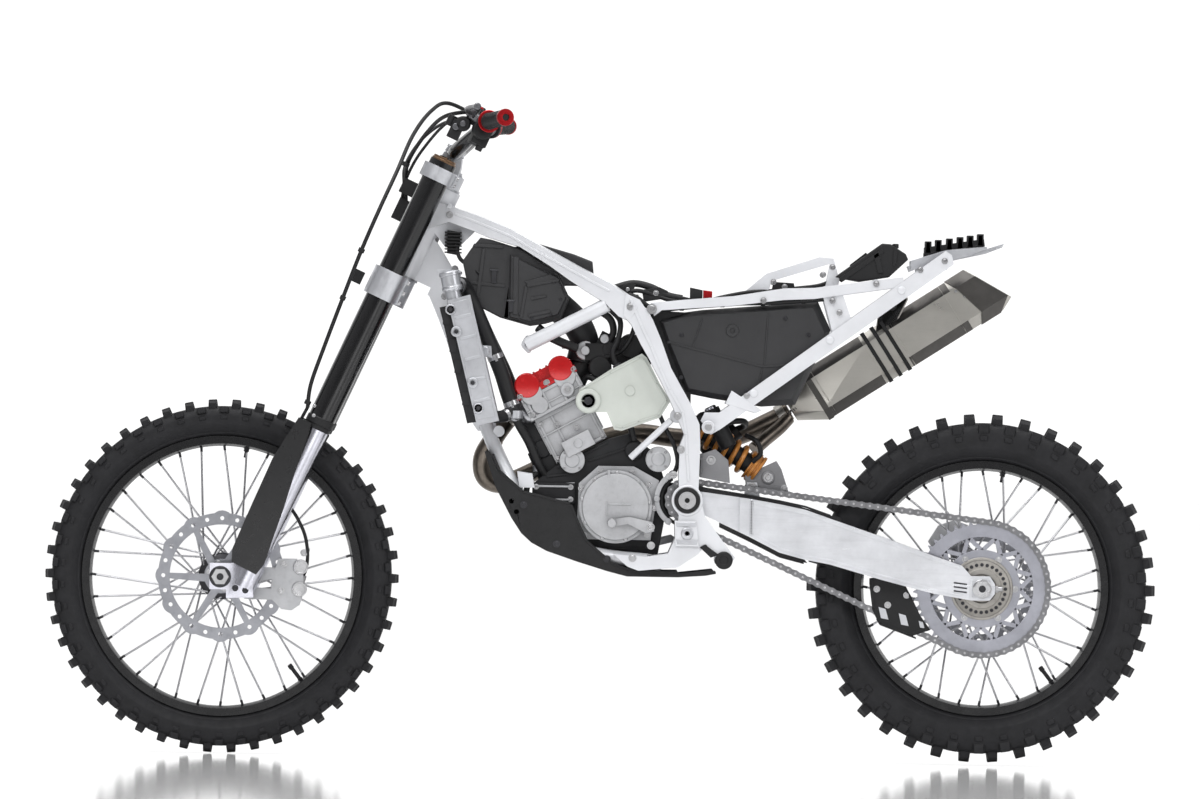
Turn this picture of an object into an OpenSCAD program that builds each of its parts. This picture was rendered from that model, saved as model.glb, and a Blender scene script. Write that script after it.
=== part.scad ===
/* [Overall] */
// Distance along the ground from the swingarm pivot to the front axle
front_len = 917; // [860:1:1150]
// Distance along the ground from the rear axle to the swingarm pivot
swingarm_len = 584; // [480:1:720]
// Height of both axles over the ground
axle_z = 345; // [330:1:380]
// Rake of the steering axis, degrees from upright
rake = 24.5; // [22:0.5:28]

/* [Wheels] */
// Outer radius of the front tyre
front_tyre_r = 350; // [292:1:420]
// Width of the front tyre
front_tyre_w = 86; // [70:1:104]
// Inner radius of the front rim
front_rim_r = 257; // [240:1:262]
// Outer radius of the rear tyre
rear_tyre_r = 345; // [287:1:414]
// Width of the rear tyre
rear_tyre_w = 106; // [88:1:128]
// Inner radius of the rear rim
rear_rim_r = 232; // [215:1:240]
// Spokes in each wheel
spoke_n = 36; // [28:4:40]
// Radius of one spoke
spoke_r = 2; // [1.6:0.1:2.6]
// Radius of both wheel axles
axle_r = 10; // [8:0.5:12]

/* [Brakes] */
// Radius of the front brake disc
front_disc_r = 130; // [108:1:135]
// Radius of the rear brake disc
rear_disc_r = 120; // [100:1:128]
// Thickness of both brake discs
disc_t = 4; // [3:0.5:5]

/* [Drive] */
// Teeth on the rear sprocket
rear_teeth = 52; // [44:1:62]
// Teeth on the drive sprocket
drive_teeth = 15; // [13:1:18]
// Pitch of the chain
chain_pitch = 15.875; // [12.7:0.001:15.875]
// Room between the rear tyre and the chain
chain_clear = 5.8; // [5:0.1:9]
// Thickness of the sprockets
sprocket_t = 6; // [5:0.5:6.5]

/* [Fork and bar] */
// Half the distance between the fork legs
fork_y = 105; // [98:1:126]
// Radius of the outer fork tubes
fork_r = 27; // [22.5:0.5:32]
// Radius of the fork sliders
slider_r = 24; // [20:0.5:28]
// Length of the handlebar, end to end
bar_w = 806; // [700:1:960]
// Radius of the handlebar at the grips
bar_r = 11; // [10:0.5:12]
// Length of each grip
grip_len = 115; // [95:1:130]
// Radius of each grip
grip_r = 16; // [14:0.5:19]

/* [Frame] */
// Half the distance between the rear uprights, middle to middle
frame_y = 108; // [104:1:124]
// Thickness of the spars and uprights
spar_t = 26; // [22:1:30]
// Radius of the cradle tubes
cradle_r = 14; // [11:0.5:16]
// Half the distance between the subframe rails
rail_y = 96; // [94:1:112]
// Half width of the fuel tank
tank_y = 80; // [66:1:82]
// Half width of the crankcase
case_y = 52; // [42:1:52]
// Length of the silencer
silencer_len = 470; // [390:1:560]

// Radius of the footpeg pin holes
peg_r = 5; // [4:0.5:6]
// Thickness of the footpeg pads
peg_t = 6; // [4:0.5:8]
// Half width of the tail bracket
tail_w = 52; // [44:1:60]
// Half the distance between the tail bracket's bolt holes
tail_hole_y = 34; // [30:1:38]
// Radius of the tail bracket's bolt holes
tail_hole_r = 4.2; // [3.2:0.1:5.2]

/* [Hidden] */
$fn = 48;

// engine, side plates and subframe keep their place round the pivot, and the steering head moves with
// the front wheel: the frame between bay_x and head_x0 takes up the difference
pivot_x0 = 584;
front_x0 = 1501;
pivot_z = 510;
wheelbase = swingarm_len + front_len;
bay_x = 935;
head_x0 = 1040;
front_more = front_len - (front_x0 - pivot_x0);
front_k = 1 + front_more / (head_x0 - bay_x);
function fx(x) = swingarm_len - pivot_x0 + (x <= bay_x ? x : x >= head_x0 ? x + front_more
    : bay_x + (x - bay_x) * front_k);
function fp(pts) = [for (p = pts) [fx(p[0]), p[1]]];
function f3(pts) = [for (p = pts) [fx(p[0]), p[1], p[2]]];
rider_x = fx(480);
rider_z = 915;
run_fit = 0.05;
snug = 0.02;

module g() { translate([-rider_x, 0, -rider_z]) children(); }
module st() { translate([wheelbase, 0, axle_z]) rotate([0, -rake, 0]) children(); }
module wh(x) { translate([x, 0, axle_z]) rotate([-90, 0, 0]) children(); }
module both() { children(); mirror([0, 1, 0]) children(); }
module plate(pts, y0, y1) {
    translate([0, y1, 0]) rotate([90, 0, 0]) linear_extrude(y1 - y0) polygon(pts);
}
module pin(x, z, y0, y1, r, n = 48) {
    translate([x, y0, z]) rotate([-90, 0, 0]) cylinder(h = y1 - y0, r = r, $fn = n);
}
module rod(p, q, r) {
    v = q - p;
    l = norm(v);
    translate(p) rotate([0, acos(v[2] / l), atan2(v[1], v[0])]) cylinder(h = l, r = r);
}
// an upright plate whose middle runs from (xa, ya) to (xb, yb) in plan
module slant(pts, xa, ya, xb, yb, t) {
    l = norm([xb - xa, yb - ya]);
    k = l / (xb - xa);
    translate([xa, ya, 0]) rotate([0, 0, atan2(yb - ya, xb - xa)])
        plate([for (p = pts) [(p[0] - xa) * k, p[1]]], -t / 2, t / 2);
}
// smooth round sweep along points; r is one radius or a list of them
function cr(a, b, c, d, t) = 0.5 * (2 * b + (c - a) * t + (2 * a - 5 * b + 4 * c - d) * t * t
    + (3 * b - a - 3 * c + d) * t * t * t);
function at(v, i) = v[min(max(i, 0), len(v) - 1)];
function smooth(v, k) = concat([for (i = [0:len(v) - 2]) for (j = [0:k - 1])
    cr(at(v, i - 1), v[i], v[i + 1], at(v, i + 2), j / k)], [v[len(v) - 1]]);
function unit(v) = v / norm(v);
module sweep(pts, r, k = 3, n = 12, up = [0, 1, 0]) {
    c = smooth(pts, k);
    q = is_list(r) ? smooth(r, k) : [for (p = c) r];
    m = len(c);
    rings = [for (i = [0:m - 1]) let (t = unit(at(c, i + 1) - at(c, i - 1)), a = unit(cross(up, t)),
        b = cross(t, a)) [for (j = [0:n - 1]) c[i] + q[i] * (cos(j * 360 / n) * a + sin(j * 360 / n) * b)]];
    pts3 = [for (s = rings) for (p = s) p];
    sides = [for (i = [0:m - 2]) for (j = [0:n - 1]) let (a = i * n + j, b = i * n + (j + 1) % n)
        [a, a + n, b + n, b]];
    polyhedron(points = pts3, faces = concat(sides, [[for (j = [0:n - 1]) j]],
        [[for (j = [n - 1:-1:0]) (m - 1) * n + j]]), convexity = 6);
}

// ---- wheels ----
rim_wall = 3;
rim_seat = 10;
rim_lip = 20;
front_rim_w = 50;
rear_rim_w = 60;
front_flange_r = 46;
front_flange_y = 27;
rear_flange_r = 60;
rear_flange_y = 30;
front_hub_y = 68;
flange_t = 4;
front_disc_y = 50;
rear_disc_y = -56;
hub_r = 24;
disc_seat_r = 34;

module rim(ri, w) {
    h = w / 2;
    s = ri + rim_seat;
    l = ri + rim_lip;
    rotate_extrude($fn = 96) polygon([[l, -h], [l, rim_wall - h], [s, rim_wall - h], [s, -10], [ri + 4, -7],
        [ri + 4, 7], [s, 10], [s, h - rim_wall], [l, h - rim_wall], [l, h], [s - 5, h], [ri, 11],
        [ri, -11], [s - 5, -h]]);
}
module tyre(ro, ri, rw, w) {
    s = ri + rim_seat;
    l = ri + rim_lip;
    h = rw / 2 - rim_wall;
    b = w / 2;
    m = (ro + l) / 2;
    rotate_extrude($fn = 96) polygon([[s, h], [l + 1, h], [l + 6, h + 4], [m - 4, b - 5], [ro - 22, b],
        [ro - 8, b - 6], [ro - 1, b - 24], [ro, 8], [ro, -8], [ro - 1, 24 - b], [ro - 8, 6 - b],
        [ro - 22, -b], [m - 4, 5 - b], [l + 6, -h - 4], [l + 1, -h], [s, -h], [s, 8 - h], [l + 4, 8 - h],
        [m, 13 - b], [ro - 30, 10 - b], [ro - 17, 24 - b], [ro - 17, b - 24], [ro - 30, b - 10],
        [m, b - 13], [l + 4, h - 8], [s, h - 8]]);
}
module spokes(ri, fr, fy) {
    for (i = [0:spoke_n - 1]) {
        side = i % 2 == 0 ? 1 : -1;
        turn = floor(i / 2) % 2 == 0 ? 1 : -1;
        a = i * 360 / spoke_n;
        ah = a + turn * 50;
        hr = fr - 5;
        yf = side * (fy + turn * (flange_t / 2 + 0.5));
        p = [hr * cos(ah), hr * sin(ah), yf];
        q = [(ri + 2) * cos(a), (ri + 2) * sin(a), side * 3];
        rod(p, q, spoke_r);
    }
}
module hub(fr, fy, hy, dy, dside) {
    difference() {
        union() {
            translate([0, 0, -fy]) cylinder(h = 2 * fy, r = hub_r);
            translate([0, 0, -fy - flange_t / 2]) cylinder(h = flange_t, r = fr);
            translate([0, 0, fy - flange_t / 2]) cylinder(h = flange_t, r = fr);
            translate([0, 0, -hy]) cylinder(h = 2 * hy, r = axle_r + 5);
            translate([0, 0, dside > 0 ? 0 : dy]) cylinder(h = abs(dy), r = disc_seat_r);
        }
        translate([0, 0, -hy - 1]) cylinder(h = 2 * hy + 2, r = axle_r + run_fit);
    }
}
module wave_disc(r, band) {
    bolt_c = 26;
    linear_extrude(disc_t) {
        difference() {
            union() {
                circle(r = r - 5, $fn = 96);
                for (i = [0:11]) rotate(i * 30) translate([r - 22, 0]) circle(r = 22);
            }
            circle(r = r - band, $fn = 96);
            for (i = [0:23]) rotate(i * 15) translate([r - band * 0.55, 0]) circle(r = 4, $fn = 24);
        }
        for (i = [0:5]) rotate(i * 60 + 10) polygon([[disc_seat_r - 6, -9], [r - band + 3, -24],
            [r - band + 4, -13], [disc_seat_r - 6, 7]]);
        difference() {
            circle(r = disc_seat_r);
            circle(r = axle_r + 5 + snug);
        }
    }
}
module front_tyre() { color("dimgray") g() wh(wheelbase) tyre(front_tyre_r, front_rim_r, front_rim_w, front_tyre_w); }
module front_rim() { color("black") g() wh(wheelbase) rim(front_rim_r, front_rim_w); }
module front_spokes() { color("silver") g() wh(wheelbase) spokes(front_rim_r, front_flange_r, front_flange_y); }
module front_hub() {
    color("dimgray") g() wh(wheelbase) hub(front_flange_r, front_flange_y, front_hub_y, front_disc_y, 1);
}
module front_disc() {
    color("silver") g() wh(wheelbase) translate([0, 0, front_disc_y]) wave_disc(front_disc_r, 28);
}
module rear_tyre() { color("dimgray") g() wh(0) tyre(rear_tyre_r, rear_rim_r, rear_rim_w, rear_tyre_w); }
module rear_rim() { color("black") g() wh(0) rim(rear_rim_r, rear_rim_w); }
module rear_spokes() { color("silver") g() wh(0) spokes(rear_rim_r, rear_flange_r, rear_flange_y); }
module rear_hub() {
    color("tan") g() wh(0) difference() {
        union() {
            hub(rear_flange_r, rear_flange_y, rear_hub_y, rear_disc_y, -1);
            translate([0, 0, rear_flange_y]) cylinder(h = chain_y - sprocket_t / 2 - rear_flange_y, r = 48);
        }
        translate([0, 0, -rear_hub_y - 1]) cylinder(h = 2 * rear_hub_y + 2, r = axle_r + run_fit);
    }
}
module rear_disc() {
    color("silver") g() wh(0) translate([0, 0, rear_disc_y - disc_t]) wave_disc(rear_disc_r, 28);
}

// ---- chain and sprockets ----
roller_r = 5.1;
seat_r = 5.4;
tooth_h = 4;
rear_pr = chain_pitch / 2 / sin(180 / rear_teeth);
drive_pr = chain_pitch / 2 / sin(180 / drive_teeth);
link_h = 7;
link_t = 2.5;
chain_gap = sprocket_t / 2 + 0.7;
chain_in = chain_gap + link_t;
chain_y = rear_tyre_w / 2 + chain_clear + chain_in;
rear_hub_y = chain_y + 7;
drive_d = [swingarm_len, pivot_z - axle_z];
lean_a = atan2(drive_d[1], drive_d[0]);
wrap_a = acos((rear_pr - drive_pr) / norm(drive_d));
// corner list of a belt round both sprockets, off outside the pitch line
function belt(off) = concat(
    [for (i = [0:rear_teeth * 0.62]) let (n = floor(rear_teeth * 0.62),
        a = lean_a + wrap_a + i * (360 - 2 * wrap_a) / n)
        if (i <= n) (rear_pr + off) * [cos(a), sin(a)]],
    [for (i = [0:6]) let (a = lean_a - wrap_a + i * 2 * wrap_a / 6)
        drive_d + (drive_pr + off) * [cos(a), sin(a)]]);
module sprocket(pr, teeth, phase) {
    difference() {
        circle(r = pr + tooth_h, $fn = 96);
        for (i = [0:teeth - 1]) rotate(phase + i * 360 / teeth) translate([pr, 0]) circle(r = seat_r, $fn = 24);
    }
}
module rear_sprocket() {
    color("lavender") g() wh(0) translate([0, 0, chain_y - sprocket_t / 2]) linear_extrude(sprocket_t)
        difference() {
            sprocket(rear_pr, rear_teeth, 0);
            circle(r = axle_r + 5 + snug);
            for (i = [0:5]) rotate(i * 60 + 30) translate([rear_pr * 0.68, 0]) circle(r = 21);
            for (i = [0:5]) rotate(i * 60) translate([rear_pr * 0.82, 0]) circle(r = 8, $fn = 24);
        }
}
module drive_sprocket() {
    color("gray") g() translate([swingarm_len, 0, pivot_z]) rotate([-90, 0, 0])
        translate([0, 0, chain_y - sprocket_t / 2]) linear_extrude(sprocket_t) difference() {
            sprocket(drive_pr, drive_teeth, 0);
            circle(r = pivot_r + snug);
        }
}
module drive_chain() {
    color("gray") g() translate([0, 0, axle_z]) {
        both_sides = [-1, 1];
        for (s = both_sides) {
            y0 = s > 0 ? chain_y + chain_gap : chain_y - chain_gap - link_t;
            difference() {
                plate(belt(link_h), y0, y0 + link_t);
                plate(belt(-link_h), y0 - 1, y0 + link_t + 1);
            }
        }
        top_a = belt(0)[0];
        bot_a = belt(0)[floor(rear_teeth * 0.62)];
        top_b = belt(0)[floor(rear_teeth * 0.62) + 7];
        bot_b = belt(0)[floor(rear_teeth * 0.62) + 1];
        run_n = 8;
        for (i = [1:run_n - 1]) {
            p = top_a + (top_b - top_a) * (i * 0.86 + 0.7) / run_n;
            q = bot_a + (bot_b - bot_a) * (i * 0.86 + 0.7) / run_n;
            pin(p[0], p[1], chain_y - chain_gap - 1, chain_y + chain_gap + 1, roller_r, 24);
            pin(q[0], q[1], chain_y - chain_gap - 1, chain_y + chain_gap + 1, roller_r, 24);
        }
    }
}

// ---- steering: local x runs ahead of the axle line, z up the fork ----
fork_u = -46.4;
steer_u = -72.4;
stem_r = 22;
clamp_wall = 7;
up_lo = 886;
up_hi = 914;
lo_lo = 630;
lo_hi = 688;
tube_lo = 352;
tube_hi = 926;
bearing_h = 3.7;
axle_out = 128;
foot_in = 72;
foot_out = 127;

module clamp_blank(lo, hi) {
    both() translate([fork_u, fork_y, lo]) cylinder(h = hi - lo, r = fork_r + clamp_wall);
    both() translate([0, 0, lo]) linear_extrude(hi - lo) polygon([[fork_u + 28, 0], [fork_u + 24, 45],
        [fork_u + 24, fork_y], [fork_u - 22, fork_y], [fork_u - 24, 62], [steer_u - 20, 34],
        [steer_u - 24, 0]]);
}
module triple_clamps() {
    color("silver") g() st() {
        difference() {
            union() {
                clamp_blank(up_lo, up_hi);
                clamp_blank(lo_lo, lo_hi);
                translate([steer_u, 0, lo_lo]) cylinder(h = up_hi - lo_lo, r = stem_r);
                translate([steer_u, 0, lo_hi - 1]) cylinder(h = bearing_h + 1, r = stem_r + 5);
                translate([steer_u, 0, up_lo - bearing_h]) cylinder(h = bearing_h + 1, r = stem_r + 5);
            }
            both() translate([fork_u, fork_y, lo_lo - 1]) cylinder(h = 400, r = fork_r + snug);
            both() translate([fork_u + 6, 38, lo_lo - 1]) cylinder(h = lo_hi - lo_lo - 18, r = 13);
        }
        translate([steer_u, 0, up_hi]) cylinder(h = 8, r = 16, $fn = 6);
    }
}
module fork_tubes() {
    color("black") g() st() both() translate([fork_u, fork_y, 0]) {
        difference() {
            translate([0, 0, tube_lo]) cylinder(h = tube_hi - tube_lo, r = fork_r);
            translate([0, 0, tube_lo - 1]) cylinder(h = 60, r = slider_r + snug);
        }
        translate([0, 0, tube_hi]) cylinder(h = 6, r = fork_r - 4);
        translate([0, 0, tube_hi + 6]) cylinder(h = 5, r = 12, $fn = 6);
    }
}
foot_h = 50;
module fork_lowers() {
    color("silver") g() {
        st() both() translate([fork_u, fork_y, 0]) {
            translate([0, 0, 20]) cylinder(h = tube_lo + 30, r = slider_r);
        }
        both() difference() {
            union() {
                st() translate([fork_u, fork_y, 0]) cylinder(h = foot_h, r = slider_r + 3);
                translate([wheelbase, 0, axle_z]) {
                    plate([[-66, -40], [-12, -42], [-12, -25], [21, -25], [21, 27], [-21, 27], [-36, 30],
                        [-62, 18]], foot_in + 6, foot_out);
                    pin(0, 0, foot_in, foot_out, axle_r + 10);
                }
            }
            pin(wheelbase, axle_z, foot_in - 1, foot_out + 1, axle_r + snug);
        }
    }
}
guard_y = foot_out + 3;
guard_t = 3;
guard_pts = [[-17, 398], [-5, 365], [7, 255], [5, 157], [2, 60], [-8, 36], [-62, 34], [-68, 60], [-62, 110],
    [-56, 170], [-44, 256], [-37, 330], [-32, 390]];
module fork_guards() {
    gy = max(guard_y, fork_y + slider_r + 2, fork_y + fork_r - 1);
    color("black") g() st() both() {
        plate([for (p = guard_pts) [p[0], min(p[1], tube_lo - 2)]], gy, gy + guard_t);
        front = [for (i = [1:4]) guard_pts[i]];
        back = [for (i = [4:-1:1]) [guard_pts[i][0] - guard_t, guard_pts[i][1]]];
        plate([for (p = concat(front, back)) [p[0], min(p[1], tube_lo - 2)]], fork_y - 18, gy);
        for (p = [[-16, 44], [-50, 42]]) pin(p[0], p[1], max(foot_out, fork_y + 22), gy + 5, 6, 24);
    }
}
module front_axle() {
    color("gray") g() difference() {
        union() {
            pin(wheelbase, axle_z, -axle_out - 4, axle_out, axle_r);
            pin(wheelbase, axle_z, axle_out - 1, axle_out + 7, 17, 6);
            pin(wheelbase, axle_z, -axle_out - 8, -axle_out, 16);
        }
        pin(wheelbase, axle_z, axle_out - 40, axle_out + 9, 7);
    }
}
cal_gap = 3;
module front_caliper() {
    disc_mid = front_disc_y + disc_t / 2;
    rr = front_disc_r;
    color("gray") g() translate([wheelbase, 0, axle_z]) rotate([0, -6, 0]) {
        difference() {
            plate([[-rr - 30, -38], [-rr - 36, -10], [-rr - 30, 28], [-rr - 14, 52], [-rr + 22, 48],
                [-rr + 30, 10], [-rr + 30, -30], [-rr + 4, -50], [-rr - 16, -50]], disc_mid - 20, foot_in + 4);
            difference() {
                plate([[-rr - 8, -90], [-rr - 8, 90], [0, 90], [0, -90]], disc_mid - disc_t / 2 - cal_gap,
                    disc_mid + disc_t / 2 + cal_gap);
                plate([[-rr - 60, -99], [-rr - 60, 99], [-rr - 6.9, 99], [-rr - 6.9, -99]], 0, 99);
            }
        }
        plate([[-rr + 26, 30], [-rr + 26, 8], [-66, -4], [-58, 26]], disc_mid + 9, foot_in + 4);
        plate([[-rr + 26, -12], [-rr + 26, -34], [-58, -38], [-62, -14]], disc_mid + 9, foot_in + 4);
        plate([[-68, 24], [-68, -38], [-50, -38], [-50, 24]], disc_mid + 9, foot_in + 6);
    }
}
bar_c = [-57, 950];
fat_r = 14.3;
grip_a = [-95, bar_w / 2 - grip_len - 4, 1034];
grip_b = [-123, bar_w / 2, 1053];
module handlebar() {
    color("black") g() st() {
        pts = [grip_b, grip_a, [-88, bar_w / 2 - 188, 1022], [-64, 118, 968], [bar_c[0], 62, bar_c[1]],
            [bar_c[0], -62, bar_c[1]], [-64, -118, 968], [-88, 188 - bar_w / 2, 1022],
            [grip_a[0], -grip_a[1], grip_a[2]], [grip_b[0], -grip_b[1], grip_b[2]]];
        sweep(pts, [bar_r, bar_r, bar_r, fat_r, fat_r, fat_r, fat_r, bar_r, bar_r, bar_r], 4, 12, [0, 0, 1]);
        both() translate([0, 46, 0]) {
            plate([[-86, up_hi], [-34, up_hi], [-36, 956], [-48, 970], [-66, 970], [-80, 952]], -14, 14);
        }
    }
}
module grips() {
    color("black") g() st() both() {
        d = unit(grip_b - grip_a);
        rod(grip_a, grip_b + d * 3, grip_r);
        rod(grip_a, grip_a + d * 5, grip_r + 6);
    }
}
module bar_controls() {
    color("dimgray") g() st() {
        d = unit(grip_b - grip_a);
        in_l = grip_a - d * 34;
        both() {
            rod(in_l, in_l + d * 22, 18);
            rod(in_l + [0, 11, 0], in_l + [34, 16, 6], 10);
            sweep([in_l + [30, 8, 6], in_l + [40, 40, 8], in_l + [36, 90, 12], in_l + [22, 160, 20]],
                [7, 6, 5, 6], 3, 10, [0, 0, 1]);
        }
        mirror([0, 1, 0]) {
            rod(grip_a - d * 10, grip_a - d * 0.5, 22);
            translate(in_l + [14, -24, -6]) cube([30, 46, 30]);
            rod(in_l + [28, -34, 8], in_l + [28, 10, 8], 9);
        }
        translate(in_l + [-16, -30, -14]) cube([26, 26, 26]);
    }
}
hose_r = 4;
module front_hoses() {
    color("black") g() st() {
        sweep([grip_a - [-22, grip_a[1] * 2 - 58, -6], [0, -190, 1040], [24, -120, 1010], [34, -30, 950],
            [30, 60, 870], [28, 112, 790], [25, 121, 700], [18, 118, 600], [10, 116, 500], [2, 116, 420],
            [-12, 118, 375]], hose_r, 3, 8);
        sweep([grip_a - [-28, 26, -10], [-14, 196, 1010], [8, 120, 965], [18, 60, 900], [6, 18, 858],
            [-22, 14, 800], [-32, 12, 740], [-33, 12, lo_hi]], hose_r, 3, 8);
    }
}

// ---- frame ----
spar_y = 30;
pivot_r = 10;
head_wall = 8;
head_in = stem_r + run_fit;
boss_r = 31;
up_in = frame_y - spar_t / 2;
up_out = frame_y + spar_t / 2;
head_x = 1062;
spar_pts = [[1088, 1092], [1062, 1084], [1000, 1064], [940, 1040], [900, 1018], [860, 997], [800, 965],
    [740, 935], [708, 914], [686, 888], [700, 862], [722, 870], [750, 897], [780, 915], [820, 940],
    [860, 968], [920, 1005], [980, 1022], [1020, 1038], [1060, 1052], [1098, 1040]];
down_pts = [[1138, 932], [1100, 905], [1085, 870], [1065, 820], [1040, 740], [1020, 670], [1000, 640],
    [960, 640], [985, 720], [1010, 800], [1030, 870], [1048, 950], [1078, 1000], [1100, 1030]];
upright_pts = [[715, 872], [700, 855], [680, 815], [665, 790], [640, 745], [618, 700], [592, 640],
    [600, 620], [602, 560], [600, 520], [606, 490], [600, 480], [605, 440], [620, 405], [665, 398],
    [728, 402], [700, 378], [678, 370], [600, 378], [560, 405], [546, 424], [503, 378], [488, 398],
    [548, 478], [562, 530], [560, 620], [562, 660], [580, 700], [600, 735], [620, 770], [640, 825],
    [658, 866], [684, 904], [712, 916]];
// what the frame is made of: head part with spars, rear side plates, and cradle tubes
module rear_plates() {
    both() plate(fp(upright_pts), up_in, up_out);
}
module front_pin() {
    pin(fx(958), 640, -40, 40, cradle_r - 3);
}
module frame() {
    color("white") g() difference() {
        union() {
            st() translate([steer_u, 0, lo_hi + bearing_h + 0.3])
                cylinder(h = up_lo - lo_hi - 2 * bearing_h - 0.6, r = head_in + head_wall);
            both() slant(fp(spar_pts), fx(head_x), spar_y, fx(700), frame_y, spar_t);
            plate(fp(down_pts), -22, 22);
            plate(fp([[1010, 1036], [1080, 1062], [1096, 1036], [1070, 1002], [1046, 1000]]), -26, 26);
            both() rod([fx(748), frame_y - 8, 893], [fx(905), 72, 812], cradle_r);
            front_pin();
        }
        st() translate([steer_u, 0, lo_hi - 60]) cylinder(h = up_lo - lo_hi + 120, r = head_in);
        st() translate([steer_u, 0, up_lo - bearing_h - 0.3]) cylinder(h = 40, r = 60);
        st() translate([steer_u, 0, lo_hi + bearing_h + 0.3 - 40]) cylinder(h = 40, r = 60);
        rear_plates();
        pin(fx(702), 890, -up_in, up_in, cradle_r);
    }
}
module side_plates() {
    color("white") g() {
        difference() {
            union() {
                rear_plates();
                both() pin(fx(pivot_x0), pivot_z, up_in, up_out, boss_r);
                both() plate(fp([[560, 420], [606, 420], [608, 470], [566, 470]]), up_out, up_out + peg_t);
            }
            pin(fx(pivot_x0), pivot_z, -up_out - 1, up_out + 1, pivot_r + snug);
            pin(fx(583), 445, -up_out - 9, up_out + 9, peg_r);
        }
        both() pin(fx(510), 393, up_in + 3, up_out + 3, 17);
        rod([fx(697), frame_y - 22, 592], [fx(618), frame_y - 6, 668], 6.5);
    }
}
module cross_tubes() {
    color("white") g() {
        pin(fx(702), 890, -up_in, up_in, cradle_r);
        pin(fx(606), 676, -up_in, up_in, cradle_r);
        pin(fx(640), 390, -up_in, up_in, cradle_r - 2);
    }
}
module cradle() {
    color("white") g() difference() {
        both() {
            sweep(f3([[988, 18, 662], [962, 44, 600], [930, 76, 536], [898, 80, 484], [866, 80, 442],
                [810, 80, 413], [740, 84, 397], [660, up_in + 4, 390]]), cradle_r, 3, 12);
            plate(fp([[885, 530], [915, 530], [920, 562], [890, 558]]), 84, 92);
            pin(fx(906), 496, 80, skid_y - 0.3, 8, 24);
        }
        plate(fp(down_pts), -22, 22);
        front_pin();
        rear_plates();
        pin(fx(640), 390, -up_in, up_in, cradle_r - 2);
    }
}

sub_t = 18;
sub_in = rail_y - sub_t / 2;
rail_pts = [[662, 898], [655, 872], [640, 884], [500, 895], [400, 908], [340, 911], [290, 919], [165, 938],
    [165, 957], [290, 940], [340, 933], [400, 931], [500, 914], [600, 905]];
low_pts = [[560, 668], [540, 640], [520, 652], [66, 984], [70, 1002], [82, 1010], [524, 684], [552, 684]];
module subframe() {
    color("white") g() {
        both() slant(fp(rail_pts), fx(660), rail_y, fx(165), rail_y - 12, sub_t);
        both() slant(fp(low_pts), fx(545), rail_y, fx(75), rail_y - 12, sub_t);
        both() plate(fp([[325, 925], [286, 928], [266, 872], [302, 842]]), sub_in - 8, sub_in + 5);
        pin(fx(218), 943, -sub_in + 8, sub_in - 8, 9);
        pin(fx(440), 917, -sub_in, sub_in, 7);
        pin(fx(315), 926, -sub_in, sub_in, 7);
        pin(fx(84), 979.5, 12 - rail_y, rail_y - 12, 8);
        both() plate(fp([[474, 920], [448, 914], [428, 930], [424, 946], [308, 982], [322, 916], [296, 916],
            [290, 950], [302, 992], [330, 994], [434, 960], [474, 926]]), 40, 46);
        both() rod([fx(545), up_in - 4, 655], [fx(545), up_out + 3, 655], 10);
        both() rod([fx(660), sub_in - 2, 886], [fx(660), up_out + 3, 886], 10);
    }
}
tail_pts = [[152, 968], [130, 978], [75, 990], [0, 1007], [-30, 1019], [-34, 1027], [0, 1016], [78, 1000],
    [134, 990], [156, 979]];
module tail_bracket() {
    color("silver") g() difference() {
        union() {
            plate(fp(tail_pts), -tail_w, tail_w);
            both() plate(fp([[150, 970], [110, 984], [40, 1000], [0, 1016], [0, 1020], [80, 1012],
                [150, 990]]), tail_w, tail_w + 4);
        }
        for (s = [-1, 1]) translate([fx(60), s * tail_hole_y, 900]) cylinder(h = 200, r = tail_hole_r);
    }
}
rib_x = [115, 95, 73, 52, 32, 12];
module tail_rubber() {
    color("black") g() {
        plate(fp([[124, 992.1], [78, 1000.3], [4, 1015.5], [4, 1026], [78, 1013], [124, 1006]]), -24, 24);
        for (i = [0:5]) plate(fp([[rib_x[i] - 6, 1004 + i * 4], [rib_x[i] + 6, 1002 + i * 4],
            [rib_x[i] + 4, 1028 + i * 3], [rib_x[i] - 4, 1029 + i * 3]]), -24, 24);
    }
}
box_y = 62;
module electronics_box() {
    color("black") g() difference() {
        plate(fp([[300, 955], [207, 1023], [190, 1022], [160, 1003], [155, 992], [192, 957], [250, 947]]),
            -box_y, box_y);
        both() plate(fp([[330, 900], [330, 1010], [282, 1010], [282, 900]]), 32, 54);
    }
}

// ---- engine ----
cyl_x = 791;
cyl_z = 601;
cyl_a = 28.4;
cyl_y = case_y - 2;
head_y = 66;
head_a = 148;
module cyl() { translate([fx(cyl_x), 0, cyl_z]) rotate([0, cyl_a, 0]) children(); }
case_pts = [[640, 402], [800, 404], [856, 438], [886, 505], [886, 540], [866, 556], [842, 575], [742, 628],
    [700, 640], [646, 600], [628, 545], [628, 470]];
module crankcase() {
    color("dimgray") g() {
        difference() {
            union() {
                plate(fp(case_pts), -case_y, case_y);
                plate(fp([[640, 545], [584, 542], [556, 524], [556, 496], [584, 478], [640, 475]]), -50, 50);
            }
            pin(fx(pivot_x0), pivot_z, -60, 60, pivot_r + snug);
        }
        pin(fx(812), 585, case_y - 1, case_y + 16, 26);
        plate(fp([[806, 500], [890, 500], [890, 540], [806, 540]]), case_y, case_y + 10);
    }
}
cover_x = 725;
cover_z = 495;
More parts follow.
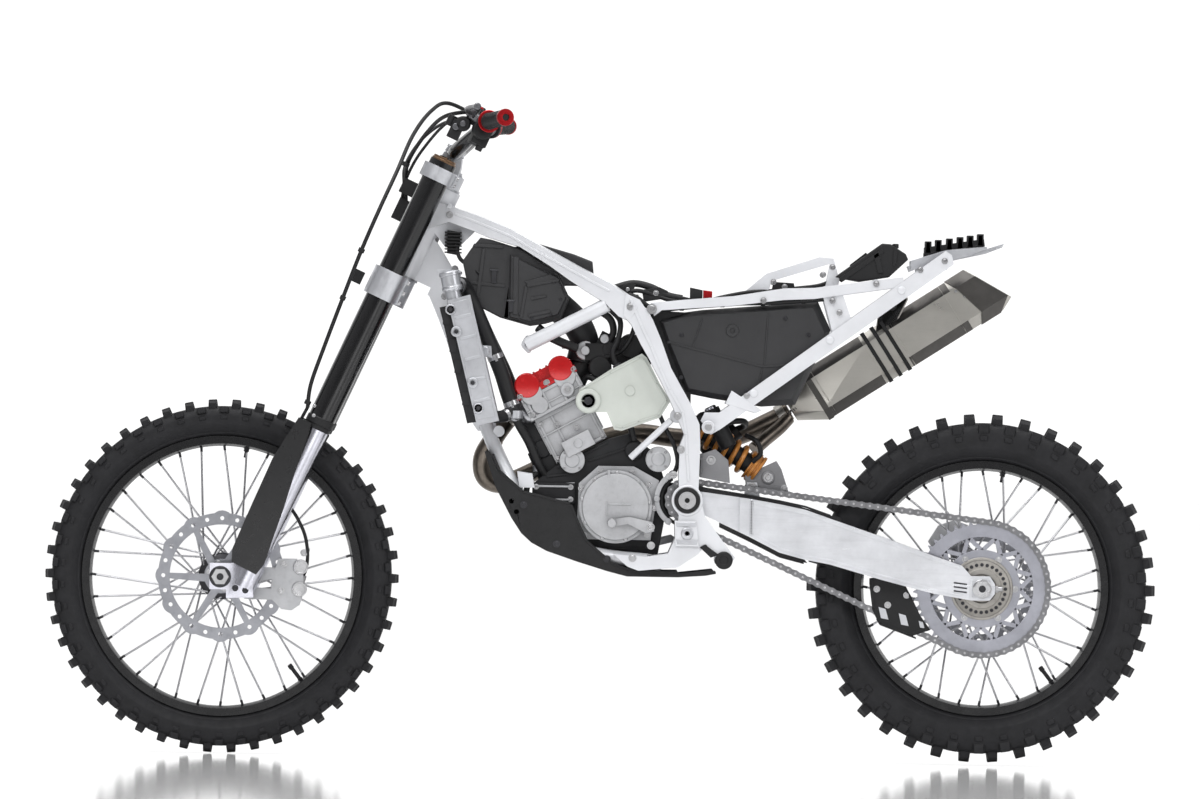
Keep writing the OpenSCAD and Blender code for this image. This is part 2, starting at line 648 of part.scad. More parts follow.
module engine_covers() {
    color("gray") g() {
        plate(fp([[640, 548], [655, 430], [790, 430], [800, 470], [798, 540], [760, 575], [690, 575]]),
            case_y, case_y + 22);
        pin(fx(cover_x), cover_z, case_y + 22, case_y + 48, 72);
        pin(fx(cover_x), cover_z, case_y + 48, case_y + 53, 62);
        pin(fx(642), 590, case_y, case_y + 26, 25);
        pin(fx(cover_x + 10), cover_z, -case_y - 46, -case_y, 80);
        pin(fx(cover_x + 100), 560, -case_y - 30, -case_y, 24);
    }
}
module cylinder_block() {
    cyl() {
        translate([-56, -cyl_y, 4]) cube([112, 2 * cyl_y, 96]);
        translate([-62, -head_y, 100]) cube([124, 2 * head_y, head_a - 100]);
        rotate([0, 90, 0]) translate([-122, 0, 60]) cylinder(h = 12, r = 24);
    }
}
module cylinder_() {
    color("gray") g() {
        cylinder_block();
        pin(fx(782), 703, cyl_y - 2, tank2_in - 2.3, 10);
    }
}
lobe_b = 37;
lobe_a = 168;
lobe_r = 25;
module valve_cover() {
    color("red") g() cyl() difference() {
        union() {
            translate([-64, -head_y - 2, head_a]) cube([128, 2 * head_y + 4, 14]);
            for (s = [-1, 1]) translate([s * lobe_b, -head_y - 4, lobe_a]) rotate([-90, 0, 0])
                cylinder(h = 2 * head_y + 8, r = lobe_r);
            translate([-lobe_b, -head_y + 8, 160]) cube([2 * lobe_b, 2 * head_y - 16, 24]);
        }
        translate([-90, -head_y - 9, head_a - 39.95]) cube([180, 2 * head_y + 18, 40]);
    }
}
box_low = [[1035, 975], [1018, 1000], [1000, 1022], [978, 1018], [918, 1000], [860, 962], [845, 952],
    [822, 905], [838, 864], [870, 854], [900, 849], [960, 865], [1000, 885], [1020, 905], [1025, 930]];
module airbox() {
    color("dimgray") g() {
        difference() {
            union() {
                plate(fp(box_low), -58, 58);
                both() plate(fp([[940, 988], [860, 950], [845, 940], [830, 905], [845, 872], [900, 858],
                    [940, 866]]), 58, 70);
                plate(fp([[905, 1017], [815, 992], [778, 978], [775, 950], [800, 930], [870, 930],
                    [940, 1000]]), -54, 54);
            }
            both() slant(fp(spar_pts), fx(head_x), spar_y, fx(700), frame_y, spar_t + 0.6);
            plate(fp(down_pts), -22.3, 22.3);
            plate(fp([[1000, 1026], [1080, 1062], [1096, 1036], [1070, 990], [1036, 990]]), -27, 27);
        }
    }
}

// ---- cooling ----
rad_in = 94;
rad_out = 158;
module radiators() {
    color("silver") g() both() {
        plate(fp([[1018, 908], [1062, 896], [1000, 650], [957, 661]]), rad_in, rad_out);
        plate(fp([[1055, 885], [1076, 880], [1018, 656], [998, 660]]), rad_in + 4, rad_out - 10);
        for (p = [[1062, 878], [1006, 685]]) pin(fx(p[0] - 8), p[1], rad_out - 2, rad_out + 6, 8, 24);
        translate([fx(1045), rad_out - 22, 880]) rotate([0, 12, 0]) cylinder(h = 62, r = 15);
        translate([fx(1052), rad_out - 22, 915]) rotate([0, 12, 0]) cylinder(h = 34, r = 19);
        pin(fx(1034), 826, 22.3, rad_in + 5, 7, 24);
        pin(fx(990), 690, 22.3, rad_in + 5, 7, 24);
    }
}
module coolant_hoses() {
    color("black") g() {
        sweep(f3([[1052, 128, 918], [1034, 96, 928], [1018, 76, 900], [986, 76, 830], [956, 76, 760],
            [940, 74, 712], [926, 74, 676]]), 15, 3, 12);
        sweep(f3([[928, 74, 690], [944, 84, 672], [966, 104, 668]]), 12, 3, 12);
        sweep(f3([[1052, -128, 918], [1034, -96, 928], [1018, -76, 900], [986, -76, 830], [954, -78, 766],
            [932, -88, 718], [906, -86, 686], [880, -60, 668]]), 15, 3, 12);
    }
}
tank2_in = 70;
module overflow_tank() {
    color("honeydew") g() difference() {
        union() {
            plate(fp([[800, 725], [740, 765], [678, 798], [668, 790], [642, 740], [620, 705], [640, 672],
                [680, 658], [715, 645], [730, 647], [745, 681], [794, 681], [806, 700]]), tank2_in,
                tank2_in + 20);
            pin(fx(782), 703, tank2_in - 2, tank2_in + 22, 25);
        }
        pin(fx(782), 703, 60, 100, 7);
    }
}
tank_pts = [[648, 866], [600, 880], [560, 886], [400, 896], [332, 906], [306, 850], [345, 770], [362, 735],
    [374, 702], [440, 697], [540, 712], [592, 722], [634, 825]];
module fuel_tank() {
    color("dimgray") g() {
        plate(fp(tank_pts), 18 - tank_y, tank_y - 18);
        both() pin(fx(440), 735, tank_y - 2, rail_y - sub_t / 2 - 3, 8, 24);
        both() hull() {
            plate(fp(tank_pts), tank_y - 19, tank_y - 17);
            plate(fp([for (p = tank_pts) [480 + (p[0] - 480) * 0.93, 800 + (p[1] - 800) * 0.88]]),
                tank_y - 1, tank_y);
        }
    }
}

// ---- exhaust ----
pipe_r = 19;
sil_a = 33;
sil_x = 378;
sil_z = 690;
sil_y0 = -166;
sil_y1 = -88;
sil_h = 54;
module sil() { translate([fx(sil_x), 0, sil_z]) rotate([0, sil_a - 180, 0]) children(); }
module exhaust_pipe() {
    color("sienna") g() {
        sweep(f3([[900, -12, 668], [932, -44, 672], [968, -74, 626], [990, -92, 586], [984, -102, 548],
            [950, -114, 536], [890, -124, 560], [800, -130, 610], [700, -138, 640], [600, -142, 632],
            [500, -136, 634], [420, -128, 668], [382, -126, 690]]),
            pipe_r, 3, 12);
    }
}
module silencer() {
    l = silencer_len;
    m = (sil_y0 + sil_y1) / 2;
    w = (sil_y1 - sil_y0) / 2;
    color("gray") g() sil() {
        difference() {
            intersection() {
                plate([[54, -sil_h], [l - 30, -sil_h], [l + 20, 40], [l - 8, sil_h], [54, sil_h]],
                    sil_y0, sil_y1);
                translate([50, m, 0]) rotate([90, 0, 90]) linear_extrude(l) polygon([[-w, -sil_h + 20],
                    [-w + 22, -sil_h], [w - 22, -sil_h], [w, -sil_h + 20], [w, sil_h - 20],
                    [w - 22, sil_h], [22 - w, sil_h], [-w, sil_h - 20]]);
            }
            translate([l - 60, m, 0]) rotate([0, 90, 0]) cylinder(h = 100, r = 24);
        }
        hull() {
            translate([0, m, 0]) rotate([0, 90, 0]) cylinder(h = 2, r = pipe_r + 4, $fn = 24);
            translate([53, m, 0]) rotate([90, 0, 90]) linear_extrude(1) polygon([[-w, -sil_h + 20],
                [-w + 22, -sil_h], [w - 22, -sil_h], [w, -sil_h + 20], [w, sil_h - 20],
                [w - 22, sil_h], [22 - w, sil_h], [-w, sil_h - 20]]);
        }
        for (s = [196, 218, 240]) plate([[s, -sil_h - 2], [s + 7, -sil_h - 2], [s + 7, sil_h + 2],
            [s, sil_h + 2]], sil_y0 + 12, sil_y1 + 1.5);
    }
    color("black") g() plate(fp([[206, 910], [160, 940], [150, 915], [175, 862], [215, 845]]),
        -rail_y - 7, -rail_y - 1);
}
skid_y = 100;
skid_t = 4;
skid_lo = [[985, 600], [962, 530], [930, 470], [910, 440], [890, 422], [860, 406], [800, 386], [740, 368],
    [700, 358], [600, 358], [545, 362], [525, 366]];
skid_up = [[532, 374], [600, 366], [678, 366], [728, 380], [780, 425], [795, 460], [812, 498], [890, 515],
    [910, 525], [960, 565], [974, 600]];
module skid_plate() {
    inner = [for (i = [len(skid_lo) - 1:-1:0]) [skid_lo[i][0] - skid_t * (i < 7 ? 1.2 : 0),
        skid_lo[i][1] + skid_t * (i < 2 ? 0.4 : 1)]];
    color("black") g() difference() {
        union() {
            both() plate(fp(concat(skid_lo, skid_up)), skid_y, skid_y + skid_t);
            plate(fp(concat(skid_lo, inner)), -skid_y - 1, skid_y + 1);
        }
        for (p = [[930, 503], [920, 482]])
            pin(fx(p[0]), p[1], skid_y - 2, skid_y + skid_t + 2, 5, 24);
        translate([fx(900), -skid_y - 9, 508]) cube([200, 46, 140]);
    }
}

// ---- swingarm ----
arm_in = chain_y + chain_in + 2;
arm_out = up_in - 2;
rear_in = chain_y + chain_in + 9;
rear_out = rear_in + 28;
function sx(x) = x * swingarm_len / pivot_x0;
function sp(pts) = [for (p = pts) [sx(p[0]), p[1]]];
module swingarm() {
    box_x = max(rear_tyre_r + 42, sx(388));
    color("lightgray") g() {
        difference() {
            union() {
                both() plate(sp([[610, 510], [600, 534], [584, 538], [560, 528], [460, 515], [400, 505],
                    [370, 498.8], [370, 403], [400, 410], [460, 440], [555, 484], [584, 482], [600, 488]]),
                    arm_in, arm_out);
                both() plate(sp([[480, 517], [460, 515], [400, 505], [350, 495], [300, 478], [200, 445],
                    [100, 410], [40, 390], [22, 370], [-15, 370], [-25, 355], [-25, 335], [-15, 322],
                    [22, 322], [100, 335], [200, 360], [300, 388], [350, 397], [400, 410], [460, 440],
                    [480, 450]]), rear_in, rear_out);
                plate([[box_x, 440], [sx(516), 466], [sx(520), 503], [sx(460), 498], [box_x, 486]],
                    -rear_in - 2, rear_in + 2);
                both() plate(sp([[434, 492], [476, 496], [466, 547], [446, 547]]), 24.3, 30.3);
            }
            pin(swingarm_len, pivot_z, -arm_out - 1, arm_out + 1, pivot_r + run_fit);
            pin(0, axle_z, -rear_out - 1, rear_out + 1, axle_r + snug);
            pin(sx(455), 538, -40, 40, 9 + snug);
        }
    }
}
guard_r = drive_pr + link_h + 2.5;
module chain_guides() {
    color("black") g() {
        plate(sp([[584, 538.3], [560, 528.3], [460, 515.3], [400, 505.3], [350, 495.3], [300, 478.3],
            [280, 472], [280, 479], [400, 512], [460, 521], [550, 534], [580, 542]]), arm_in + 1, arm_out - 1);
        plate(sp([[520, 467.4], [460, 439.6], [400, 409.6], [350, 396.6], [345, 390], [400, 402], [460, 432],
            [520, 459]]), arm_in + 1, arm_out - 1);
        difference() {
            union() {
                plate(sp([[222, 362], [222, 352], [215, 300], [200, 270], [140, 248], [100, 262], [120, 290],
                    [135, 320], [150, 348], [200, 366]]), chain_y + chain_in + 3, rear_in);
                plate(sp([[215, 300], [200, 270], [140, 248], [108, 262], [120, 284], [160, 312],
                    [200, 326]]), 46, chain_y - chain_in - 3);
                plate(sp([[208, 283], [200, 270], [140, 248], [128, 243.6], [128, 247], [140, 252.5],
                    [200, 276]]), 46, rear_in);
            }
            pin(0, axle_z, 44, rear_in + 1, 60);
        }
        translate([swingarm_len, 0, pivot_z]) difference() {
            intersection() {
                difference() {
                    pin(0, 0, case_y, chain_y + chain_in, guard_r + 6.5);
                    pin(0, 0, case_y - 1, chain_y + chain_in + 1, guard_r);
                }
                plate([[25, 60], [70, 60], [70, -60], [20, -60], [34, 0]], 40, 90);
            }
            pin(0, 0, case_y - 1, case_y, 20);
        }
    }
}
module shock() {
    color("orange") g() {
        rod([fx(458), 0, 580], [fx(560), 0, 652], 27);
        rod([fx(442), 0, 569], [fx(461), 0, 582], 31);
        rod([fx(560), 0, 652], [fx(588), 0, 671], 16);
        rod([fx(424), 0, 557], [fx(446), 0, 572], 10);
        both() plate(fp([[398, 574], [408, 590], [470, 560], [468, 542], [380, 520]]), 16, 22);
        pin(fx(424), 557, -24, 24, 9);
        plate(fp([[470, 542], [440, 552], [410, 566], [404, 548], [440, 526], [466, 526]]), -14, 14);
        pin(sx(455), 538, -31, 31, 9);
    }
}
module rear_axles() {
    color("gray") g() {
        difference() {
            union() {
                pin(0, axle_z, -rear_out - 10, rear_out + 4, axle_r);
                pin(0, axle_z, rear_out, rear_out + 12, 17, 6);
                pin(0, axle_z, -rear_out - 14, -rear_out, 17);
                pin(0, axle_z, rear_hub_y + 0.5, rear_in, 16);
            }
            pin(0, axle_z, rear_out - 30, rear_out + 14, 7);
        }
        difference() {
            union() {
                pin(swingarm_len, pivot_z, -up_out - 6, up_out + 6, pivot_r);
                both() pin(swingarm_len, pivot_z, up_out, up_out + 3, 24);
                both() pin(swingarm_len, pivot_z, up_out + 3, up_out + 7, 17);
            }
            both() pin(swingarm_len, pivot_z, up_out - 20, up_out + 8, 5);
        }
    }
}
module rear_caliper() {
    dm = rear_disc_y - disc_t / 2;
    rr = rear_disc_r;
    color("gray") g() translate([0, 0, axle_z]) {
        difference() {
            plate([[40, rr - 34], [26, rr + 4], [52, rr + 14], [84, rr + 2], [104, rr - 30], [86, rr - 54]],
                -rear_in + 0.5, dm + 20);
            difference() {
                plate([[0, 0], [200, 0], [200, 200], [0, 200]], dm - disc_t / 2 - cal_gap,
                    dm + disc_t / 2 + cal_gap);
                difference() {
                    pin(0, 0, -99, 0, rr + 60);
                    pin(0, 0, -100, 1, rr + 5);
                }
            }
        }
        difference() {
            plate([[-16, -14], [-16, 16], [30, rr - 20], [70, rr - 30], [20, -10]], -rear_in + 0.3,
                -rear_hub_y - 0.6);
            pin(0, 0, -rear_in - 1, -rear_hub_y, axle_r + snug);
        }
        plate([[38, rr - 28], [62, rr - 24], [88, rr - 48], [70, rr - 56]], -rear_in + 0.3, dm - 9);
    }
}
module foot_controls() {
    color("gray") g() {
        plate(fp([[648, 448], [664, 444], [700, 462], [730, 456], [732, 470], [698, 476], [652, 466]]),
            112, 118);
        pin(fx(732), 463, 112, 148, 8, 24);
        pin(fx(655), 456, case_y + 22, 118, 8, 24);
        mirror([0, 1, 0]) {
            plate(fp([[596, 428], [612, 424], [700, 402], [750, 410], [752, 424], [700, 418], [614, 440]]),
                up_out + peg_t + 1, up_out + peg_t + 7);
            pin(fx(750), 416, up_out + peg_t + 1, up_out + 36, 9, 24);
            pin(fx(604), 427, up_out + peg_t, up_out + peg_t + 7, 7, 24);
        }
    }
}
module wiring() {
    color("black") g() {
        hy = rail_y - 22.5;
        sweep(f3([[716, 66, 918], [690, hy - 1, 908], [655, hy, 886], [600, hy, 890], [560, hy, 894],
            [500, hy, 900], [440, hy, 902], [380, hy, 906], [315, hy, 912], [290, hy, 914]]), 5, 2, 8);
        plate(fp([[740, 924], [700, 932], [640, 925], [626, 905], [660, 899], [700, 907]]), 54, 70);
        plate(fp([[585, 894], [540, 896], [540, 924], [585, 930]]), 60, 76);
        plate(fp([[1038, 1034], [1064, 1038], [1064, 990], [1040, 985]]), 26.3, 46);
    }
}

front_tyre();
front_rim();
front_spokes();
front_hub();
front_disc();
rear_tyre();
rear_rim();
rear_spokes();
rear_hub();
rear_sprocket();
rear_disc();
triple_clamps();
fork_tubes();
fork_lowers();
fork_guards();
front_axle();
front_caliper();
handlebar();
grips();
bar_controls();
front_hoses();
frame();
side_plates();
cross_tubes();
cradle();
subframe();
tail_bracket();
tail_rubber();
electronics_box();
crankcase();
engine_covers();
cylinder_();  // cylinder
valve_cover();
airbox();
radiators();
coolant_hoses();
overflow_tank();
fuel_tank();
exhaust_pipe();
silencer();
skid_plate();
swingarm();
chain_guides();
shock();
rear_axles();
rear_caliper();
drive_chain();
drive_sprocket();
foot_controls();
wiring();
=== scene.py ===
"""Looks of the stripped motocross bike: finishes for the CAD nodes, and the detail too small for CAD."""
import math

import bmesh
import bpy
from mathutils import Matrix, Vector


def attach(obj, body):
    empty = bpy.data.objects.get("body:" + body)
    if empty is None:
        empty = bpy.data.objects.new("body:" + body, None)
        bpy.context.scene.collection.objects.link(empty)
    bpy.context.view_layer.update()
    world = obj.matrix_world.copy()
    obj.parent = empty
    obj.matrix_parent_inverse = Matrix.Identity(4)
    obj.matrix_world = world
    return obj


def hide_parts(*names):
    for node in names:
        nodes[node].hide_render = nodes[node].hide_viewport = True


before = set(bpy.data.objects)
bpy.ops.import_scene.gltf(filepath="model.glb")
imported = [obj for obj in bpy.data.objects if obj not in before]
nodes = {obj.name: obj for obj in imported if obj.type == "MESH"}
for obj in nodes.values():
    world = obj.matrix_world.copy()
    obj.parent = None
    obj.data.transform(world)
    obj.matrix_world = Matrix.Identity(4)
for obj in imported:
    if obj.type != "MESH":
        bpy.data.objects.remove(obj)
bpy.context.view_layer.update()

# ---------------------------------------------------------------- places
# Lengths are in millimetres. x runs forward from the rear axle, y to the rider's left, z up from the ground.
RIDER_X, RIDER_Z = 480.0, 915.0  # the frame's origin
AXLE_Z = 345.0
BASE = 1501.0  # wheelbase
CHAIN_Y = 65
PIVOT = (584, 510)  # swingarm pivot and drive sprocket
RAKE = math.radians(24.5)
CR, SR = math.cos(RAKE), math.sin(RAKE)


def V(x, y, z):
    return Vector((x, y, z))


def P(x, y, z):
    """A place in the frame's metres."""
    return V((x - RIDER_X) / 1000, y / 1000, (z - RIDER_Z) / 1000)


def S(u, y, w):
    """A place on the fork: u ahead of the axle, w up along the steering axis."""
    return P(BASE + u * CR - w * SR, y, AXLE_Z + u * SR + w * CR)


SU, SW = V(CR, 0, SR), V(-SR, 0, CR)
XV, YV, ZV = V(1, 0, 0), V(0, 1, 0), V(0, 0, 1)


def mm(v):
    return v / 1000


def pt(p):
    """A bare (x, y, z) becomes a place; a place stays one."""
    return p if isinstance(p, Vector) else P(*p)


def flip(v, s):
    """The same on side s, which is 1 for the left and -1 for the right."""
    return V(v.x, v.y * s, v.z)


# ---------------------------------------------------------------- materials
def new_mat(name):
    m = bpy.data.materials.new(name)
    m.use_nodes = True
    t = m.node_tree
    t.nodes.clear()
    out = t.nodes.new("ShaderNodeOutputMaterial")
    b = t.nodes.new("ShaderNodeBsdfPrincipled")
    t.links.new(b.outputs[0], out.inputs[0])
    return m, t, b


def noise_at(t, scale, detail=4.0, rough=0.55, stretch=(1, 1, 1)):
    co = t.nodes.new("ShaderNodeTexCoord")
    mp = t.nodes.new("ShaderNodeMapping")
    mp.inputs["Scale"].default_value = stretch
    t.links.new(co.outputs["Object"], mp.inputs[0])
    n = t.nodes.new("ShaderNodeTexNoise")
    n.inputs["Scale"].default_value = scale
    n.inputs["Detail"].default_value = detail
    n.inputs["Roughness"].default_value = rough
    t.links.new(mp.outputs[0], n.inputs["Vector"])
    return n.outputs["Fac"]


def ramp(t, fac, a, b, p0=0.3, p1=0.7):
    r = t.nodes.new("ShaderNodeValToRGB")
    r.color_ramp.elements[0].position = p0
    r.color_ramp.elements[1].position = p1
    r.color_ramp.elements[0].color = (*a, 1)
    r.color_ramp.elements[1].color = (*b, 1)
    t.links.new(fac, r.inputs[0])
    return r.outputs[0]


def span(t, fac, a, b, p0=0.3, p1=0.7):
    r = t.nodes.new("ShaderNodeMapRange")
    r.inputs["From Min"].default_value = p0
    r.inputs["From Max"].default_value = p1
    r.inputs["To Min"].default_value = a
    r.inputs["To Max"].default_value = b
    t.links.new(fac, r.inputs[0])
    return r.outputs[0]


def times(t, a, b, fac=1.0):
    m = t.nodes.new("ShaderNodeMix")
    m.data_type = "RGBA"
    m.blend_type = "MULTIPLY"
    m.inputs[0].default_value = fac
    t.links.new(a, m.inputs[6])
    t.links.new(b, m.inputs[7])
    return m.outputs[2]


def scaled(c, k):
    return tuple(min(1, x * k) for x in c)


def surface(name, col, rough, metal=0.0, var=0.12, vscale=14, rvar=0.07, bump=0.0, bscale=600,
            bdist=0.0004, coat=0.0, stretch=(1, 1, 1), corner_shade=0.0, spec=0.36, wear=0.0):
    """One procedural finish: colour drift, uneven gloss, fine relief, and painted shade darkening the corners."""
    m, t, b = new_mat(name)
    c = ramp(t, noise_at(t, vscale, 5, 0.6), scaled(col, 1 - var), scaled(col, 1 + var))
    if wear:
        w = noise_at(t, 90, 8, 0.75, stretch)
        c = times(t, c, ramp(t, w, (1 - wear,) * 3, (1, 1, 1), 0.33, 0.5))
    # painted shade: ambient occlusion darkens the colour in corners and crevices, where shade falls
    if corner_shade:
        ao = t.nodes.new("ShaderNodeAmbientOcclusion")
        ao.samples = 4
        ao.inputs["Distance"].default_value = 0.018
        c = times(t, c, ramp(t, ao.outputs["AO"], (1 - corner_shade,) * 3, (1, 1, 1), 0.25, 0.85))
    t.links.new(c, b.inputs["Base Color"])
    r = span(t, noise_at(t, vscale * 3.1, 6, 0.65, stretch), rough - rvar, rough + rvar)
    t.links.new(r, b.inputs["Roughness"])
    b.inputs["Metallic"].default_value = metal
    b.inputs["Specular IOR Level"].default_value = spec
    if coat:
        b.inputs["Coat Weight"].default_value = coat
        b.inputs["Coat Roughness"].default_value = 0.12
    if bump:
        bn = t.nodes.new("ShaderNodeBump")
        bn.inputs["Strength"].default_value = bump
        bn.inputs["Distance"].default_value = bdist
        t.links.new(noise_at(t, bscale, 3, 0.6, stretch), bn.inputs["Height"])
        t.links.new(bn.outputs[0], b.inputs["Normal"])
    return m


# Many finishes below darken their corners with painted shade (ambient occlusion), by the amount surface() takes for
# it.
M = {
    "tyre": surface("tyre_rubber", (0.015, 0.015, 0.017), 0.6, var=0.22, vscale=30, rvar=0.1, bump=0.35,
                    bscale=420, corner_shade=0.55, spec=0.3),
    "rim": surface("rim_black", (0.005, 0.005, 0.006), 0.26, var=0.2, bump=0.05, coat=0.06, spec=0.3),
    "spoke": surface("spoke_steel", (0.52, 0.52, 0.54), 0.3, 1.0, bump=0.05),
    "nipple": surface("nipple_dark", (0.05, 0.05, 0.055), 0.4, 0.6),
    "hub": surface("hub_black", (0.045, 0.045, 0.05), 0.42, 0.4, bump=0.1),
    "hubtan": surface("hub_tan", (0.44, 0.42, 0.39), 0.42, 0.9, corner_shade=0.4, wear=0.25, bump=0.1),
    "disc": surface("disc_steel", (0.33, 0.335, 0.36), 0.34, 1.0, wear=0.12, bump=0.12,
                    bscale=900),
    "sprocket": surface("sprocket_alloy", (0.40, 0.405, 0.45), 0.36, 0.9, bump=0.1, wear=0.08, corner_shade=0.25),
    "alloy": surface("satin_alloy", (0.60, 0.61, 0.64), 0.38, 0.95, bump=0.12, bscale=800, corner_shade=0.35,
                     wear=0.06),
    "castlight": surface("cast_alloy_light", (0.52, 0.525, 0.54), 0.5, 0.75, bump=0.4, bscale=700,
                         corner_shade=0.5, wear=0.1),
    "engine": surface("engine_dark", (0.030, 0.030, 0.032), 0.5, 0.5, bump=0.35, bscale=650, corner_shade=0.4,
                      wear=0.1),
    "arm": surface("arm_alloy", (0.72, 0.73, 0.76), 0.33, 0.9, stretch=(0.12, 1, 1.6), bump=0.16,
                   bscale=260, wear=0.07, corner_shade=0.2),
    "white": surface("frame_white", (0.76, 0.77, 0.80), 0.36, 0.15, var=0.05, bump=0.12, bscale=500,
                     coat=0.35, corner_shade=0.32),
    "fork": surface("fork_black", (0.010, 0.010, 0.011), 0.2, 0.3, stretch=(1, 1, 0.06), bump=0.03,
                    coat=0.5),
    "slider": surface("slider_steel", (0.60, 0.60, 0.66), 0.22, 1.0, stretch=(1, 1, 0.08), bump=0.03),
    "plastic": surface("black_plastic", (0.011, 0.011, 0.012), 0.5, bump=0.25, bscale=900, corner_shade=0.2),
    "gloss": surface("black_gloss", (0.012, 0.012, 0.013), 0.3, bump=0.06, bscale=500, coat=0.2),
    "charcoal": surface("charcoal_plastic", (0.036, 0.036, 0.038), 0.52, var=0.1, bump=0.3, bscale=1100,
                        corner_shade=0.3),
    "skid": surface("skid_plastic", (0.015, 0.015, 0.016), 0.56, var=0.14, bump=0.35, bscale=380, wear=0.25,
                    corner_shade=0.2),
    "rubber": surface("hose_rubber", (0.010, 0.010, 0.011), 0.48, bump=0.2, bscale=700),
    "red": surface("red_lacquer", (0.56, 0.008, 0.010), 0.24, 0.25, var=0.1, coat=0.7, bump=0.06,
                   corner_shade=0.3),
    "rednylon": surface("red_anodised", (0.42, 0.012, 0.016), 0.3, 0.7, bump=0.06),
    "milky": surface("milky_tank", (0.60, 0.63, 0.585), 0.42, var=0.06, bump=0.12, bscale=350, corner_shade=0.25),
    "pipe": surface("pipe_brown", (0.19, 0.165, 0.14), 0.34, 0.95, var=0.3, vscale=22, bump=0.06,
                    wear=0.2),
    "titan": surface("titanium", (0.48, 0.465, 0.43), 0.33, 0.95, var=0.08, vscale=9,
                     stretch=(0.2, 1, 1), bump=0.1, bscale=500, wear=0.05),
    # the dark titanium of the end caps, also used as painted shade on the silencer's bevelled corners
    "titan_dark_and_shade": surface("titanium_dark_and_shade", (0.11, 0.105, 0.10), 0.34, 0.9, var=0.12, bump=0.1, wear=0.1),
    "chain": surface("chain_steel", (0.24, 0.24, 0.25), 0.34, 0.95, wear=0.2, bump=0.1, corner_shade=0.3),
    "steel": surface("bolt_steel", (0.50, 0.50, 0.51), 0.3, 1.0, bump=0.05, wear=0.12),
    "dark": surface("dark_steel", (0.06, 0.06, 0.065), 0.38, 0.8, bump=0.1),
    "lever": surface("lever_alloy", (0.16, 0.16, 0.17), 0.36, 0.8, bump=0.08),
    "orange": surface("spring_orange", (0.60, 0.24, 0.05), 0.35, 0.2, coat=0.3, corner_shade=0.3),
    "grey": surface("grey_link", (0.26, 0.26, 0.27), 0.45, 0.7, bump=0.3, corner_shade=0.4),
    "bronze": surface("cap_bronze", (0.20, 0.12, 0.07), 0.3, 0.85, bump=0.08),
    "fins": surface("radiator_fins", (0.03, 0.03, 0.032), 0.5, 0.5, bump=0.2, corner_shade=0.3),
}

# the row's material slot of each finish
SLOT = {"tyre": "tyre", "nipple": "rim_black", "hub": "hub_black", "hubtan": "hub_tan", "sprocket": "sprocket",
        "alloy": "satin_alloy", "castlight": "cast_grey", "engine": "engine_dark", "arm": "arm_alloy",
        "white": "frame_white", "fork": "fork_black", "slider": "satin_alloy", "plastic": "black_plastic",
        "charcoal": "charcoal_plastic", "skid": "skid_black", "rubber": "hose_rubber", "red": "red_paint",
        "rednylon": "red_paint", "milky": "tank_white", "pipe": "pipe_brown", "titan": "titanium",
        "titan_dark_and_shade": "titanium", "chain": "chain_steel", "steel": "axle_steel", "dark": "axle_steel",
        "lever": "lever_grey", "orange": "spring_orange", "grey": "cast_grey", "fins": "black_plastic",
        "bronze": "satin_alloy"}


# ---------------------------------------------------------------- mesh building
def spline(pts, k):
    """A smooth line through the points, with k steps between two of them."""
    out = []
    n = len(pts)
    for i in range(n - 1):
        a, b, c, d = pts[max(i - 1, 0)], pts[i], pts[i + 1], pts[min(i + 2, n - 1)]
        for j in range(k):
            t = j / k
            out.append(0.5 * (2 * b + (c - a) * t + (2 * a - 5 * b + 4 * c - d) * t * t
                              + (3 * b - a - 3 * c + d) * t ** 3))
    out.append(pts[-1])
    return out


def frame_of(d):
    a = d.orthogonal().normalized()
    return a, d.normalized().cross(a)


def helix(p, d, r, turns, steps):
    """Points of a coil round the line from p along d."""
    u, v = frame_of(d)
    return [p + d * (i / steps) + (u * math.cos(i / steps * math.tau * turns)
                                   + v * math.sin(i / steps * math.tau * turns)) * mm(r) for i in range(steps + 1)]


def add_bevel(o, name, width, angle, segments=2):
    b = o.modifiers.new(name, "BEVEL")
    b.width = mm(width)
    b.segments = segments
    b.limit_method = "ANGLE"
    b.angle_limit = math.radians(angle)
    return b


def add_object(name, data):
    o = bpy.data.objects.new(name, data)
    bpy.context.scene.collection.objects.link(o)
    return o


